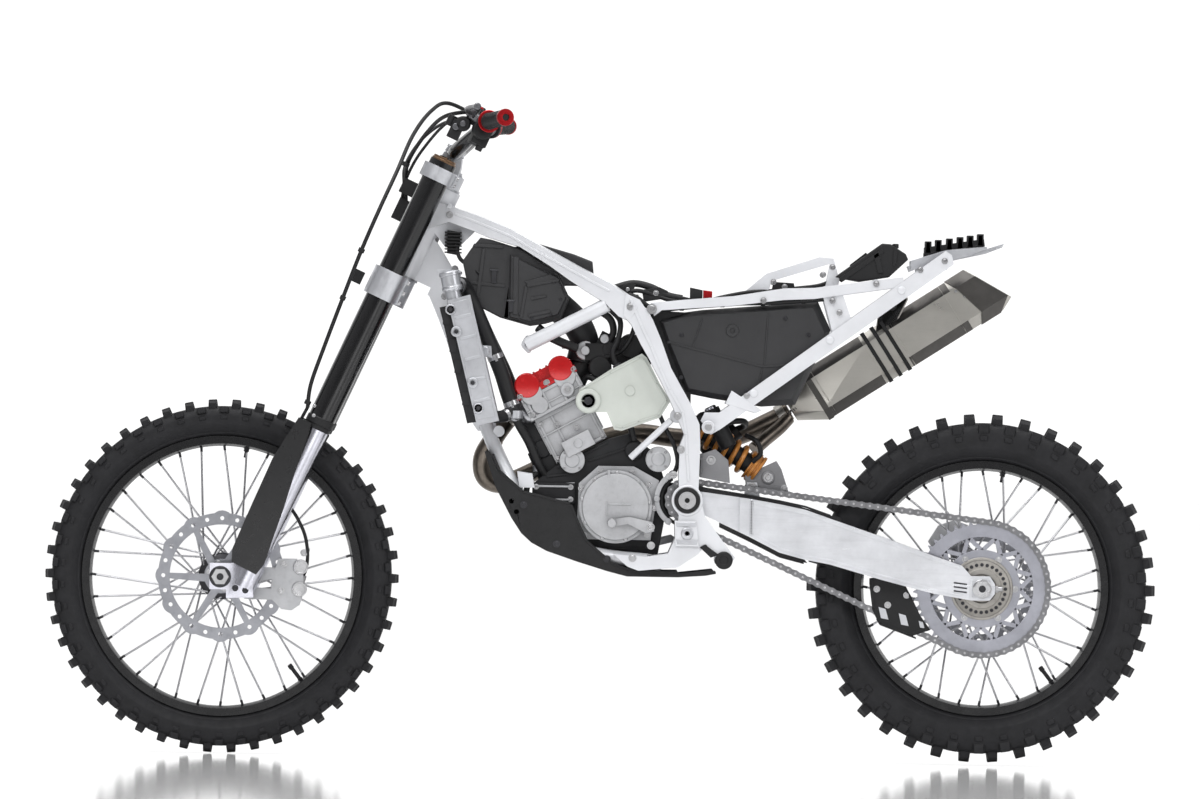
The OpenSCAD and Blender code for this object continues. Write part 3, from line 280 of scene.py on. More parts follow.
class Batch:
    """Collects many small solids into one piece. A bare (x, y, z) is a place for P."""

    unfinished = []
    sides = (1,)

    def __init__(self, name, mat, bevel=0.0, body="chassis", slot=None, hide=()):
        self.bm = bmesh.new()
        self.name, self.body, self.mat, self.slot = name, body, M[mat], slot or SLOT[mat]
        self.bevel, self.hide = bevel, hide
        Batch.unfinished.append(self)

    def ring(self, c, a, b, r, n):
        return [self.bm.verts.new(c + (a * math.cos(i * math.tau / n) + b * math.sin(i * math.tau / n)) * r)
                for i in range(n)]

    def skin(self, rings, close=True, smooth=True):
        for p, q in zip(rings, rings[1:]):
            n = len(p)
            for i in range(n):
                self.bm.faces.new((p[i], p[(i + 1) % n], q[(i + 1) % n], q[i])).smooth = smooth
        if close:
            self.bm.faces.new(rings[0][::-1])
            self.bm.faces.new(rings[-1])

    def lathe(self, p, d, prof, n=32):
        """A turned solid; prof is a list of (radius, height) along d."""
        for s in self.sides:
            q, e = flip(pt(p), s), flip(d.normalized(), s)
            a, b = frame_of(e)
            self.skin([self.ring(q + e * mm(h), a, b, mm(r), n) for r, h in prof], smooth=n > 8)

    def cyl(self, p, d, r, h, n=24, cham=0.0):
        """A cylinder from p along d, with a chamfer at the far end."""
        self.lathe(p, d, [(r, 0), (r, h - cham), (r - cham, h)] if cham else [(r, 0), (r, h)], n)

    def bolt(self, p, d, r=4.5, h=4.5, hexa=False, washer=True):
        """A cap screw with a round socket, or a hexagon head, on a washer."""
        p, d = pt(p), d.normalized()
        if washer:
            self.cyl(p, d, r * 1.45, 1.0, 20)
            p = p + d * mm(1.0)
        if hexa:
            self.cyl(p, d, r, h, 6, 0.8)
            self.cyl(p + d * mm(h), d, r * 0.55, 1.2, 14)
        else:
            self.lathe(p, d, [(r, 0), (r, h - 0.7), (r - 0.7, h), (r * 0.55, h), (r * 0.55, h * 0.4)], 18)

    def bolts(self, xz, y, r, h, d=YV, **kind):
        """Like screws in one plane."""
        for x, z in xz:
            self.bolt((x, y, z), d, r, h, **kind)

    def tube(self, pts, r, n=12, k=8):
        """A smooth tube along points; r is one radius or one for each point."""
        for s in self.sides:
            c = spline([flip(pt(p), s) for p in pts], k)
            rad = spline(r, k) if isinstance(r, list) else [r] * len(c)
            a, _ = frame_of(c[1] - c[0])
            rings = []
            for i, p in enumerate(c):
                t = (c[min(i + 1, len(c) - 1)] - c[max(i - 1, 0)]).normalized()
                a = (a - t * a.dot(t)).normalized()
                rings.append(self.ring(p, a, t.cross(a), mm(rad[i]), n))
            self.skin(rings)
        return c

    def poly(self, pts, d, h):
        """A prism on a closed outline of points, h thick along d."""
        d = d.normalized() * mm(h)
        for s in self.sides:
            self.skin([[self.bm.verts.new(flip(p + e, s)) for p in pts] for e in (d * 0, d)], smooth=False)

    def plate(self, xz, y0, y1):
        self.poly([P(x, y0, z) for x, z in xz], YV, y1 - y0)

    def splate(self, uw, y0, y1):
        self.poly([S(u, y0, w) for u, w in uw], YV, y1 - y0)

    def box(self, c, size, ax=(XV, YV, ZV)):
        x, y, z = (v.normalized() * mm(s / 2) for v, s in zip(ax, size))
        c = pt(c)
        self.poly([c - x - y - z, c + x - y - z, c + x + y - z, c - x + y - z], z, size[2])

    def tilted(self, c, size, rise):
        """A box whose length rises by rise for each unit forward."""
        self.box(c, size, (V(1, 0, rise), YV, V(-rise, 0, 1)))

    def ribs(self, line, y, wide, high, more=0.0):
        """Bars in one plane along a line of (x, z), each longer than its stretch by more."""
        for (x0, z0), (x1, z1) in zip(line, line[1:]):
            d = V(x1 - x0, 0, z1 - z0)
            self.box(((x0 + x1) / 2, y, (z0 + z1) / 2), (d.length + more, wide, high), (d, YV, d.cross(YV)))

    def done(self, angle=32):
        Batch.unfinished.remove(self)
        bmesh.ops.recalc_face_normals(self.bm, faces=self.bm.faces)
        me = bpy.data.meshes.new(self.name)
        self.bm.to_mesh(me)
        self.bm.free()
        o = add_object(self.name, me)
        me.materials.append(self.mat)
        if self.bevel:
            me.shade_smooth()
            add_bevel(o, "bevel", self.bevel, 34).harden_normals = True
        me.set_sharp_from_angle(angle=math.radians(angle))
        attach(o, self.body)
        if self.hide:
            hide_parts(*self.hide)
        return o


class Pair(Batch):
    """A piece whose shapes are made on the left and again on the right."""

    sides = (1, -1)


def smooth_group():
    """Welds a CAD node's mesh and shades it smooth, apart from its real edges."""
    g = bpy.data.node_groups.new("smooth_edges", "GeometryNodeTree")
    for way in ("INPUT", "OUTPUT"):
        g.interface.new_socket("Geometry", in_out=way, socket_type="NodeSocketGeometry")
    i, o = g.nodes.new("NodeGroupInput"), g.nodes.new("NodeGroupOutput")
    weld = g.nodes.new("GeometryNodeMergeByDistance")
    weld.inputs["Distance"].default_value = 0.00002
    face = g.nodes.new("GeometryNodeSetShadeSmooth")
    edge = g.nodes.new("GeometryNodeSetShadeSmooth")
    edge.domain = "EDGE"
    edge.inputs["Shade Smooth"].default_value = False
    ang = g.nodes.new("GeometryNodeInputMeshEdgeAngle")
    more = g.nodes.new("FunctionNodeCompare")
    more.inputs["B"].default_value = math.radians(34)
    g.links.new(ang.outputs[0], more.inputs["A"])
    g.links.new(more.outputs[0], edge.inputs["Selection"])
    for p, q in ((i, weld), (weld, face), (face, edge), (edge, o)):
        g.links.new(p.outputs[0], q.inputs[0])
    return g


SMOOTH = smooth_group()


def dress(name, mat, bevel):
    """Gives a CAD node its finish, and rounds its edges for the light."""
    o = nodes[name]
    o.data.materials.clear()
    o.data.materials.append(M[mat])
    at = o.data.attributes.get("custom_normal")
    if at:
        o.data.attributes.remove(at)
    o.modifiers.new("smooth", "NODES").node_group = SMOOTH
    if bevel:
        b = add_bevel(o, "bevel", bevel, 34)
        b.use_clamp_overlap = True
        b.harden_normals = True


# ---------------------------------------------------------------- camera, light
def aim_camera():
    cam = bpy.data.cameras.new("camera")
    o = add_object("camera", cam)
    bpy.context.scene.camera = o
    cam.sensor_width = 36
    cam.lens = 379
    cam.clip_end = 100
    far = Matrix.Translation(P(759, 0, 706) + V(0, 25, 0))
    turns = ((180, "Z"), (90, "X"), (0.94, "Z"))
    a, b, c = (Matrix.Rotation(math.radians(v), 4, axis) for v, axis in turns)
    o.matrix_world = far @ a @ b @ c


def area(name, loc, at, size, power):
    light = bpy.data.lights.new(name, "AREA")
    light.shape = "RECTANGLE"
    light.size, light.size_y = size
    light.energy = power
    o = add_object(name, light)
    o.location = loc
    o.rotation_euler = (Vector(at) - Vector(loc)).to_track_quat("-Z", "Y").to_euler()


def sky():
    """A grey sky, dark at the horizon, so that metal has something to mirror."""
    w = bpy.data.worlds.new("studio")
    bpy.context.scene.world = w
    w.use_nodes = True
    t = w.node_tree
    co = t.nodes.new("ShaderNodeTexCoord")
    sep = t.nodes.new("ShaderNodeSeparateXYZ")
    t.links.new(co.outputs["Generated"], sep.inputs[0])
    r = t.nodes.new("ShaderNodeValToRGB")
    steps = r.color_ramp.elements
    for p in (0.47, 0.56, 0.72):
        steps.new(p)
    for e, (p, v) in zip(steps, ((0.0, 0.26), (0.47, 0.16), (0.56, 0.18), (0.72, 0.50), (1.0, 1.0))):
        e.position = p
        e.color = (v, v, min(1, v * 1.02), 1)
    z = t.nodes.new("ShaderNodeMapRange")
    z.inputs["From Min"].default_value = -1
    t.links.new(sep.outputs["Z"], z.inputs[0])
    t.links.new(z.outputs[0], r.inputs[0])
    t.links.new(r.outputs[0], t.nodes["Background"].inputs[0])


def stage(name, pts, base, values):
    me = bpy.data.meshes.new(name)
    me.from_pydata(pts, [], [(0, 1, 2, 3)])
    m, _, b = new_mat(name)
    b.inputs["Base Color"].default_value = (base, base, base, 1)
    for k, v in values.items():
        b.inputs[k].default_value = v
    me.materials.append(m)
    o = add_object(name, me)


aim_camera()
sky()
area("key", (1.5, 4.4, 3.2), (0.3, 0, -0.3), (3.2, 1.6), 92)
area("side", (-3.4, 3.6, 1.2), (0.1, 0, -0.3), (1.2, 2.6), 40)
area("top", (0.2, 0.4, 3.4), (0.2, 0, -0.3), (4.0, 1.4), 78)
area("low", (0.6, 3.6, -0.7), (0.2, 0, -0.35), (3.6, 0.5), 9)
GROUND = (-RIDER_Z - 6) / 1000
HALF, BACK, TOP = 80, -70, 34  # the stage's half width, its far wall and the wall's top, in metres
stage("floor", [(-HALF, BACK, GROUND), (HALF, BACK, GROUND), (HALF, -BACK, GROUND), (-HALF, -BACK, GROUND)], 0.9,
      {"Roughness": 0.08})
stage("backdrop", [(-HALF, BACK, GROUND - 3), (HALF, BACK, GROUND - 3), (HALF, BACK, TOP), (-HALF, BACK, TOP)], 0,
      {"Specular IOR Level": 0, "Emission Color": (1, 1, 1, 1), "Emission Strength": 1.12})
bpy.context.scene.view_settings.view_transform = "Standard"


# ---------------------------------------------------------------- wheels
def wheel_pt(cx, r, a, y):
    return P(cx + r * math.cos(a), y, AXLE_Z + r * math.sin(a))


def tyre(name, cx, prof, knobs, pitches, body, hide):
    """A carcass turned from half its section, with rows of tread blocks.

    A row is its block's section as (radius, y), two points at the root and two at the top, then its phase,
    half its length and how much shorter the top is at each end.
    """
    b = Batch(name, "tyre", body=body, hide=hide)
    n = 160
    loop = prof + [(r, -y) for r, y in reversed(prof[:-1])]
    rings = [[b.bm.verts.new(wheel_pt(cx, r, i * math.tau / n, y)) for i in range(n)] for r, y in loop]
    b.skin(rings + [rings[0]], False)
    for sect, phase, half, taper in knobs:
        for s in (1, -1):
            for i in range(pitches):
                mid = (i + phase) * math.tau / pitches
                b.skin([[b.bm.verts.new(wheel_pt(cx, r, mid + way * (half - (taper if j > 1 else 0)) / r, s * y))
                         for j, (r, y) in enumerate(sect)] for way in (-1, 1)], smooth=False)
    add_bevel(b.done(40), "soft", 0.9, 50, 1)


tyre("front_tyre_look", BASE,
     [(268, 21), (278, 21.4), (280, 24.5), (283, 28), (285, 28.6), (286, 30.2), (300, 36.6), (302, 37.6),
      (304, 37.4), (316, 39.2), (325, 37.4), (331, 32.5), (334.4, 25), (336, 12), (336.2, 0)],
     [([(333, 3), (333, 15), (348.8, 15), (349.7, 3)], 0.0, 9.5, 1.4),
      ([(331, 18.5), (327, 31), (342.6, 33.5), (347.4, 19.5)], 0.0, 8.5, 1.4),
      ([(333, 33), (322, 38.6), (325, 42.8), (335.5, 42.4)], 0.5, 9.5, 1.4),
      ([(318, 38.8), (310, 38.2), (311, 40.6), (318, 41.2)], 0.5, 7, 1.0)],
     46, "front_wheel", ["front_tyre"])
tyre("rear_tyre_look", 0,
     [(243, 26), (253, 26.4), (255, 29.5), (258, 34), (260, 34.6), (261, 36.4), (276, 44.5), (278, 45.6),
      (280, 45.4), (294, 48.6), (308, 48.6), (317, 46), (323, 39), (326, 27), (327, 12), (327, 0)],
     [([(323, 4), (323, 17), (343.6, 17), (344.8, 4)], 0.0, 11.5, 1.5),
      ([(321, 21), (315, 37), (336, 39), (342.5, 22)], 0.0, 10.5, 1.5),
      ([(320, 42), (306, 48.4), (312, 52.8), (327, 52.2)], 0.5, 11.5, 1.6),
      ([(302, 48.6), (292, 48.2), (293, 50.8), (302, 51.4)], 0.5, 8, 1.0)],
     38, "rear_wheel", ["rear_tyre"])


def wheel_bits(tag, cx, rim_r, flange_r, flange_y, disc_y, disc_side):
    body = tag + "_wheel"
    n = Batch(tag + "_nipples", "nipple", body=body)
    for i in range(36):
        side = 1 if i % 2 == 0 else -1
        turn = 1 if i // 2 % 2 == 0 else -1
        a = -i * math.tau / 36
        hub = wheel_pt(cx, flange_r - 5, a - turn * math.radians(50), side * (flange_y + turn * 2.5))
        rim = wheel_pt(cx, rim_r + 2, a, side * 3)
        d = (hub - rim).normalized()
        n.cyl(rim, d, 2.6, 11, 10, 0.8)
        n.cyl(rim - d * mm(1), d, 4.2, 2.8, 12, 1)
    for name, mat, slot, deg, steps in (
            ("_valve", "rubber", "grip_rubber", 232, ((0, 5.5, 4, 6, 0), (4, 4, 26, 14, 1), (28, 5, 10, 14, 1.5))),
            ("_rim_bolt", "dark", None, 100, ((0, 7, 2, 16, 0), (0, 5.5, 8, 6, 0), (0, 3, 20, 12, 0)))):
        v = Batch(tag + name, mat, body=body, slot=slot)
        p = wheel_pt(cx, rim_r + 1, math.radians(deg), 0)
        d = (P(cx, 0, AXLE_Z) - p).normalized()
        for at, r, h, sides, cham in steps:
            v.cyl(p + d * mm(at), d, r, h, sides, cham)
    s = Batch(tag + "_disc_bolts", "steel", body=body)
    for i in range(6):
        s.bolt(wheel_pt(cx, 27, i * math.tau / 6 + 0.3, disc_y), YV * disc_side, 4.6, 3.5, washer=False)


wheel_bits("front", BASE, 257, 46, 27, 54, 1)
wheel_bits("rear", 0, 232, 60, 30, -60, -1)

# ---------------------------------------------------------------- finishes of the CAD nodes, with their bevels
for mat_, rows in {
        "rim": {"front_rim": 0.6, "rear_rim": 0.6}, "spoke": {"front_spokes": 0, "rear_spokes": 0},
        "hub": {"front_hub": 0.8}, "hubtan": {"rear_hub": 0.8}, "disc": {"front_disc": 0.3, "rear_disc": 0.3},
        "sprocket": {"rear_sprocket": 0.5}, "slider": {"fork_lowers": 1.2}, "gloss": {"fork_guards": 0.8},
        "alloy": {"triple_clamps": 2.0, "tail_bracket": 1.0, "radiators": 1.5},
        "fork": {"fork_tubes": 0.8, "handlebar": 0.6}, "steel": {"front_axle": 0.8, "rear_axles": 0.8},
        "castlight": {"front_caliper": 2.5, "rear_caliper": 2.0, "engine_covers": 3.0, "cylinder": 2.0,
                      "foot_controls": 1.0},
        "rubber": {"grips": 1.0, "front_hoses": 0, "tail_rubber": 1.2, "coolant_hoses": 0, "wiring": 1.5},
        "lever": {"bar_controls": 1.2}, "arm": {"swingarm": 3.5}, "engine": {"crankcase": 3.0},
        "white": {"frame": 2.0, "side_plates": 2.0, "cross_tubes": 0.8, "cradle": 0, "subframe": 1.8},
        "plastic": {"electronics_box": 2.5, "chain_guides": 1.0}, "red": {"valve_cover": 2.5},
        "charcoal": {"airbox": 3.0, "fuel_tank": 3.0}, "milky": {"overflow_tank": 4.0}, "skid": {"skid_plate": 1.0},
        "pipe": {"exhaust_pipe": 0}, "titan": {"silencer": 2.0}, "orange": {"shock": 1.0},
        "chain": {"drive_chain": 0, "drive_sprocket": 0.4}}.items():
    for node_, bevel_ in rows.items():
        dress(node_, mat_, bevel_)

# ---------------------------------------------------------------- chain
PITCH = 15.875
TEETH = 52
REAR_PR = PITCH / 2 / math.sin(math.pi / TEETH)
DRIVE_PR = PITCH / 2 / math.sin(math.pi / 15)
FREE_PINS = 81  # pins that don't sit in the rear sprocket's teeth


def chain_points():
    """The pins, as (x, z) from the rear axle: first those in the teeth, then the rest in even steps."""
    dx, dz = PIVOT[0], PIVOT[1] - AXLE_Z
    lean = math.atan2(dz, dx)
    wrap = math.acos((REAR_PR - DRIVE_PR) / math.hypot(dx, dz))
    step = math.tau / TEETH
    straight = math.sqrt(math.hypot(dx, dz) ** 2 - (REAR_PR - DRIVE_PR) ** 2)
    parts = [REAR_PR * (lean - wrap + math.tau - 42 * step), straight, DRIVE_PR * 2 * wrap, straight]

    def turned(cx, cz, r, a, along=0.0):
        return (cx + r * math.cos(a) - along * math.sin(a), cz + r * math.sin(a) + along * math.cos(a))

    def at(s):
        if s < parts[0]:
            return turned(0, 0, REAR_PR, 42 * step + s / REAR_PR)
        s -= parts[0]
        if s < straight:
            return turned(0, 0, REAR_PR, lean - wrap, s)
        s -= straight
        if s < parts[2]:
            return turned(dx, dz, DRIVE_PR, lean - wrap + s / DRIVE_PR)
        return turned(dx, dz, DRIVE_PR, lean + wrap, s - parts[2])

    return ([turned(0, 0, REAR_PR, i * step) for i in range(14, 43)]
            + [at(sum(parts) * i / (FREE_PINS + 1)) for i in range(1, FREE_PINS + 1)])


def chain():
    pts = chain_points()
    plates = Batch("chain_plates", "chain", hide=["drive_chain"])
    rolls = Batch("chain_rollers", "steel", slot="chain_steel")
    for i, (px, pz) in enumerate(pts):
        qx, qz = pts[(i + 1) % len(pts)]
        d = math.hypot(qx - px, qz - pz)
        a = math.atan2(qz - pz, qx - px)
        out = []
        for end, a0, waist in ((d, -90, 5.0), (0, 90, -5.0)):
            turn = [math.radians(a0 + k * 30) for k in range(7)]
            out += [(end + 6.8 * math.cos(t), 6.8 * math.sin(t)) for t in turn] + [(d / 2, waist)]
        ring = [(px + x * math.cos(a) - z * math.sin(a), AXLE_Z + pz + x * math.sin(a) + z * math.cos(a))
                for x, z in out]
        y0, y1 = ((3.1, 4.5), (4.7, 6.1))[i % 2]
        plates.plate(ring, CHAIN_Y + y0, CHAIN_Y + y1)
        plates.plate(ring, CHAIN_Y - y1, CHAIN_Y - y0)
        rolls.cyl((px, CHAIN_Y - 3, AXLE_Z + pz), YV, 5.05, 6, 14)
        rolls.cyl((px, CHAIN_Y - 6.2, AXLE_Z + pz), YV, 2.3, 12.4, 10)
    plates.done(40)
    rolls.done(40)


chain()


# ---------------------------------------------------------------- bars and levers
# the left grip's inner and outer end, as (u, y, w) of S, and the lever's clamp inside it
GRIP_IN, GRIP_OUT = V(-95, 284, 1034), V(-123, 403, 1053)
GRIP_DIR = (GRIP_OUT - GRIP_IN).normalized()
PERCH = GRIP_IN - GRIP_DIR * 34


def SS(v, side=1):
    return S(v[0], v[1] * side, v[2])


def SDIR(v, side=1):
    return (SS(v, side) - SS((0, 0, 0))).normalized()


def on_perch(x, y, z, side=1):
    return SS(PERCH + V(x, y, z), side)


def bars():
    left, right = SDIR(GRIP_DIR), SDIR(GRIP_DIR, -1)
    bar = Batch("bar_tube", "fork", body="steering", hide=["handlebar"])
    half = [GRIP_OUT, GRIP_IN, V(-88, 215, 1022), V(-64, 118, 968), V(-57, 62, 950)]
    radii = [11, 11, 11, 14.3, 14.3]
    bar.tube([SS(v) for v in half] + [SS(v, -1) for v in reversed(half)], radii + radii[::-1], 20, 8)
    cl = Pair("bar_clamps", "alloy", 1.2, "steering")
    cl.splate([(-84, 914), (-36, 914), (-34, 928), (-38, 948), (-76, 948), (-82, 930)], 33, 59)
    cl.splate([(-77, 949.5), (-37, 949.5), (-40, 962), (-48, 969), (-66, 969), (-74, 962)], 33, 59)
    bt = Pair("bar_clamp_bolts", "steel", body="steering")
    for u in (-72, -42):
        for y in (38, 54):
            bt.bolt(S(u, y, 960), SW, 3.6, 4)
    gr = Pair("grip_rubbers", "rubber", body="steering", slot="grip_rubber", hide=["grips"])
    long = (GRIP_OUT - GRIP_IN).length + 3
    prof = [(11.4, 2), (17, 2), (17, 7)]
    z = 7.0
    while z < long - 12:
        prof += [(15.0, z + 0.8), (15.0, z + 2.0), (16.0, z + 2.8), (16.0, z + 4.6)]
        z += 5.4
    prof += [(15.6, long - 5.5), (16.0, long - 4), (15.5, long - 1), (12, long), (4, long)]
    gr.lathe(SS(GRIP_IN), left, prof, 28)
    red = Pair("grip_rings", "rednylon", body="steering")
    red.lathe(SS(GRIP_IN), left, [(12, 0.2), (21, 0.2), (22, 1), (22, 4.2), (21, 5), (17, 5)], 32)
    red.lathe(SS(GRIP_IN) + left * mm(long - 5.2), left,
              [(16.4, -2), (17, -1), (17, 5.4), (16, 7), (9, 7.4), (7, 7.2), (6.6, 4)], 28)

    lv = Pair("levers", "lever", 0.8, "steering", hide=["bar_controls"])
    lv.cyl(SS(PERCH), left, 17, 18, 26, 1)
    lv.cyl(SS(PERCH), SDIR((1, 0, 0.1)), 9, 31, 18, 1)
    pin = on_perch(30, 8, 4)
    lv.cyl(pin - SW * mm(6), SW, 9, 16, 20, 1)
    lv.bolt(pin + SW * mm(10), SW, 4, 3)
    lv.tube([pin + SW * mm(2), on_perch(40, 40, 8), on_perch(37, 90, 12), on_perch(27, 140, 18),
             on_perch(23, 158, 20)], [7, 5.5, 4.8, 4.6, 5], 12, 6)
    lv.cyl(on_perch(23, 154, 20), SDIR((-0.1, 0.9, 0.1)), 7, 9, 16, 2)
    lv.sides = (1,)
    lv.cyl((1050, 250, 1236), YV, 7, 6, 18, 1)
    lv.cyl((1036, 255, 1242), YV, 6, 5, 18, 1)

    bk = Pair("bar_housings", "plastic", 1.2, "steering")
    bk.box(on_perch(8, -18, 2), (34, 24, 26), (left, SU, SW))
    bk.cyl(on_perch(10, -14, 12), SW, 7, 9, 16, 1)
    bk.cyl(on_perch(-4, -22, 6), SU * -1, 5, 12, 14, 1)
    bk.sides = (1,)
    # the throttle and the brake's master cylinder
    bk.cyl(SS(GRIP_IN - GRIP_DIR * 10, -1), right, 22, 9.4, 30, 1.5)
    bk.box(SS(GRIP_IN + V(18, -6, 8), -1), (12, 26, 20), (right, SU, SW))
    bk.cyl(on_perch(28, -34, 8, -1), SDIR((0, 1, 0), -1), 9.5, 44, 20, 1)
    bk.cyl(on_perch(29, -20, 12, -1), SW, 13, 22, 24, 2)
    # the clutch perch and the switches
    bk.box(on_perch(0, -38, 2), (22, 24, 22), (left, SU, SW))
    bk.cyl(on_perch(24, -6, 2), SDIR((0, -1, 0)), 8, 26, 20, 1)
    bk.cyl((1000, 258, 1230), left, 20, 16, 26, 2)
    bk.box((1003, 244, 1216), (30, 32, 34), (left, SU, SW))
    bk.cyl((1036, 222, 1242), YV, 15, 34, 24, 2)
    bk.box((1050, 236, 1230), (26, 24, 38), (YV, SU, SW))
    bk.cyl((1064, 232, 1238), SW, 9, 22, 18, 1)
    bk.cyl((1000, 250, 1204), SW * -1, 7, 16, 18, 1)
    bk.box((1022, 236, 1250), (24, 20, 16), (YV, SU, SW))
    rb = Batch("bar_button", "rednylon", body="steering")
    rb.cyl(on_perch(-13, -38, 8), SU * -1, 4.5, 5, 16, 1)
    rb.cyl(on_perch(16, -14, 22), SW, 3.6, 3, 16, 1)


bars()


def hoses():
    h = Batch("front_hose_lines", "rubber", body="steering", hide=["front_hoses"])
    for r, sides, route in (
            (4, 14, [(-73, -226, 1040), (0, -190, 1040), (24, -120, 1010), (34, -30, 950), (30, 60, 870),
                     (28, 112, 790), (25, 121, 700), (18, 118, 600), (10, 116, 500), (2, 116, 420),
                     (-12, 118, 375)]),
            (4, 14, [(-67, 258, 1044), (-14, 196, 1010), (8, 120, 965), (18, 60, 900), (6, 18, 858),
                     (-22, 14, 800), (-32, 12, 740), (-33, 12, 688)]),
            (3.2, 12, [(-62, -238, 1032), (-12, -170, 1004), (16, -90, 950), (22, -20, 890), (6, -12, 850),
                       (-20, -14, 795), (-32, -14, 735), (-33, -14, 688)]),
            (3.0, 12, [(-66, 246, 1030), (-22, 180, 1000), (2, 96, 930), (8, 30, 872), (0, 8, 830),
                       (-14, 4, 790)])):
        h.tube([S(*p) for p in route], r, sides, 10)
    # the brake line's lower end, behind the guard and into the caliper
    h.tube([S(-12, 118, 376), S(-10, 113, 340), S(-8, 108, 300), S(-8, 99, 262), S(-14, 82, 232), S(-34, 74, 206),
            S(-62, 74, 184), (1352, 76, 462), (1337, 78, 430), (1331, 74, 395), (1333, 68, 365), (1341, 60, 344)],
           3.4)
    f = Batch("hose_fittings", "steel", 0.4, "steering")
    for y in (12, -14):
        f.cyl(S(-33, y, 688), SW, 5.6, 9, 6)
        f.cyl(S(-33, y, 688), SW, 4.8, 16, 16, 1)
    f.cyl((1341, 60, 334), P(1333, 68, 365) - P(1341, 60, 338), 5, 16, 6)
    t = Batch("hose_clips", "plastic", 0.5, "steering")
    for q, r in (((25, 121, 704), 6.5), ((18, 118, 604), 6.0), ((-8, 117, 388), 6.5), ((20, 62, 895), 7.5)):
        t.cyl(S(*q), SW * -1, r, 9, 16, 1)
    for q, size in (((12, 62, 650), (24, 6, 26)), ((-4, 16, 852), (30, 44, 30)), ((-8, 2, 806), (22, 34, 44))):
        t.box(S(*q), size, (SU, YV, SW))


hoses()

FORK_U, FORK_Y = -46.4, 105
STEM_U = -72.4


def fork_bits():
    cap = Pair("fork_caps", "bronze", body="steering")
    p = S(FORK_U, FORK_Y, 926)
    cap.lathe(p, SW, [(25.5, -2), (25.5, 3), (23.6, 4.5), (23.6, 7.5), (22, 8.6), (12, 8.6)], 36)
    cap.cyl(p + SW * mm(8), SW, 11.5, 2.7, 6)
    st = Pair("fork_screws", "steel", body="steering")
    for u, y, w, d, r, h in ((-84, 98, 637, -SU, 4.6, 5), (-84, 98, 658, -SU, 4.6, 5), (-84, 98, 680, -SU, 4.6, 5),
                             (-82, 98, 893, -SU, 4.0, 5), (-82, 98, 907, -SU, 4.0, 5), (-16, 132, 44, YV, 4.2, 2.4),
                             (-50, 132, 42, YV, 4.2, 2.4), (-23, 131, 384, YV, 2.6, 1.6),
                             (-30, 131, 366, YV, 2.6, 1.6)):
        st.bolt(S(u, y, w), d, r, h)
    st.bolt(S(FORK_U, FORK_Y, 934), SW, 2.2, 1.2, washer=False)
    lug = Pair("clamp_lugs", "alloy", 1.2, "steering")
    for w0, w1 in ((632, 686), (888, 912)):
        lug.splate([(-84, w0), (-74, w0), (-74, w1), (-84, w1)], 87, 109)
    rg = Pair("fork_rings", "plastic", 0.6, "steering")
    for prof in ([(27.1, 352), (28.6, 353), (28.6, 366), (27.1, 368)],
                 [(24.1, 343), (26.6, 344), (26.6, 352), (24.1, 352)]):
        rg.lathe(S(FORK_U, FORK_Y, 0), SW, prof, 40)
    stem = Batch("stem_nut", "alloy", 0.8, "steering")
    stem.lathe(S(STEM_U, 0, 914), SW, [(20, -0.5), (20, 1.6), (17.4, 2.2), (17.4, 5)], 36)
    stem.lathe(S(STEM_U, 0, 920), SW, [(12, 0), (12, 3.4), (10, 4.4), (4, 4.4), (4, 2.6)], 24)
    ax = Batch("front_axle_details", "dark", 0.5, "steering")
    ax.bolts([(BASE - 30, AXLE_Z - 22), (BASE - 50, AXLE_Z - 26)], 127, 4.4, 3.4)
    ax.lathe((BASE, 127, AXLE_Z), YV, [(21.5, -1), (21.5, 0.8), (18.5, 1.8), (17.2, 1.8)], 36)
    ca = Batch("caliper_details", "steel", 0.4, "steering")
    for x, z in ((1344, 366), (1346, 322)):
        ca.lathe((x, 75.8, z), YV, [(15, 0), (15, 2), (13.5, 3), (11.5, 3), (11, 2), (4, 2)], 30)
    ca.bolts([(1377, 372), (1382, 318), (1338, 394)], 75.6, 5, 4)
    ca.cyl((1330, 58, 396), ZV, 3, 7, 12)
    pd = Batch("caliper_pads", "dark", 0.4, "steering")
    for y in (54.4, 47.2):
        pd.plate([(1360, 322), (1386, 330), (1388, 358), (1362, 366)], y, y + 2.4)


fork_bits()


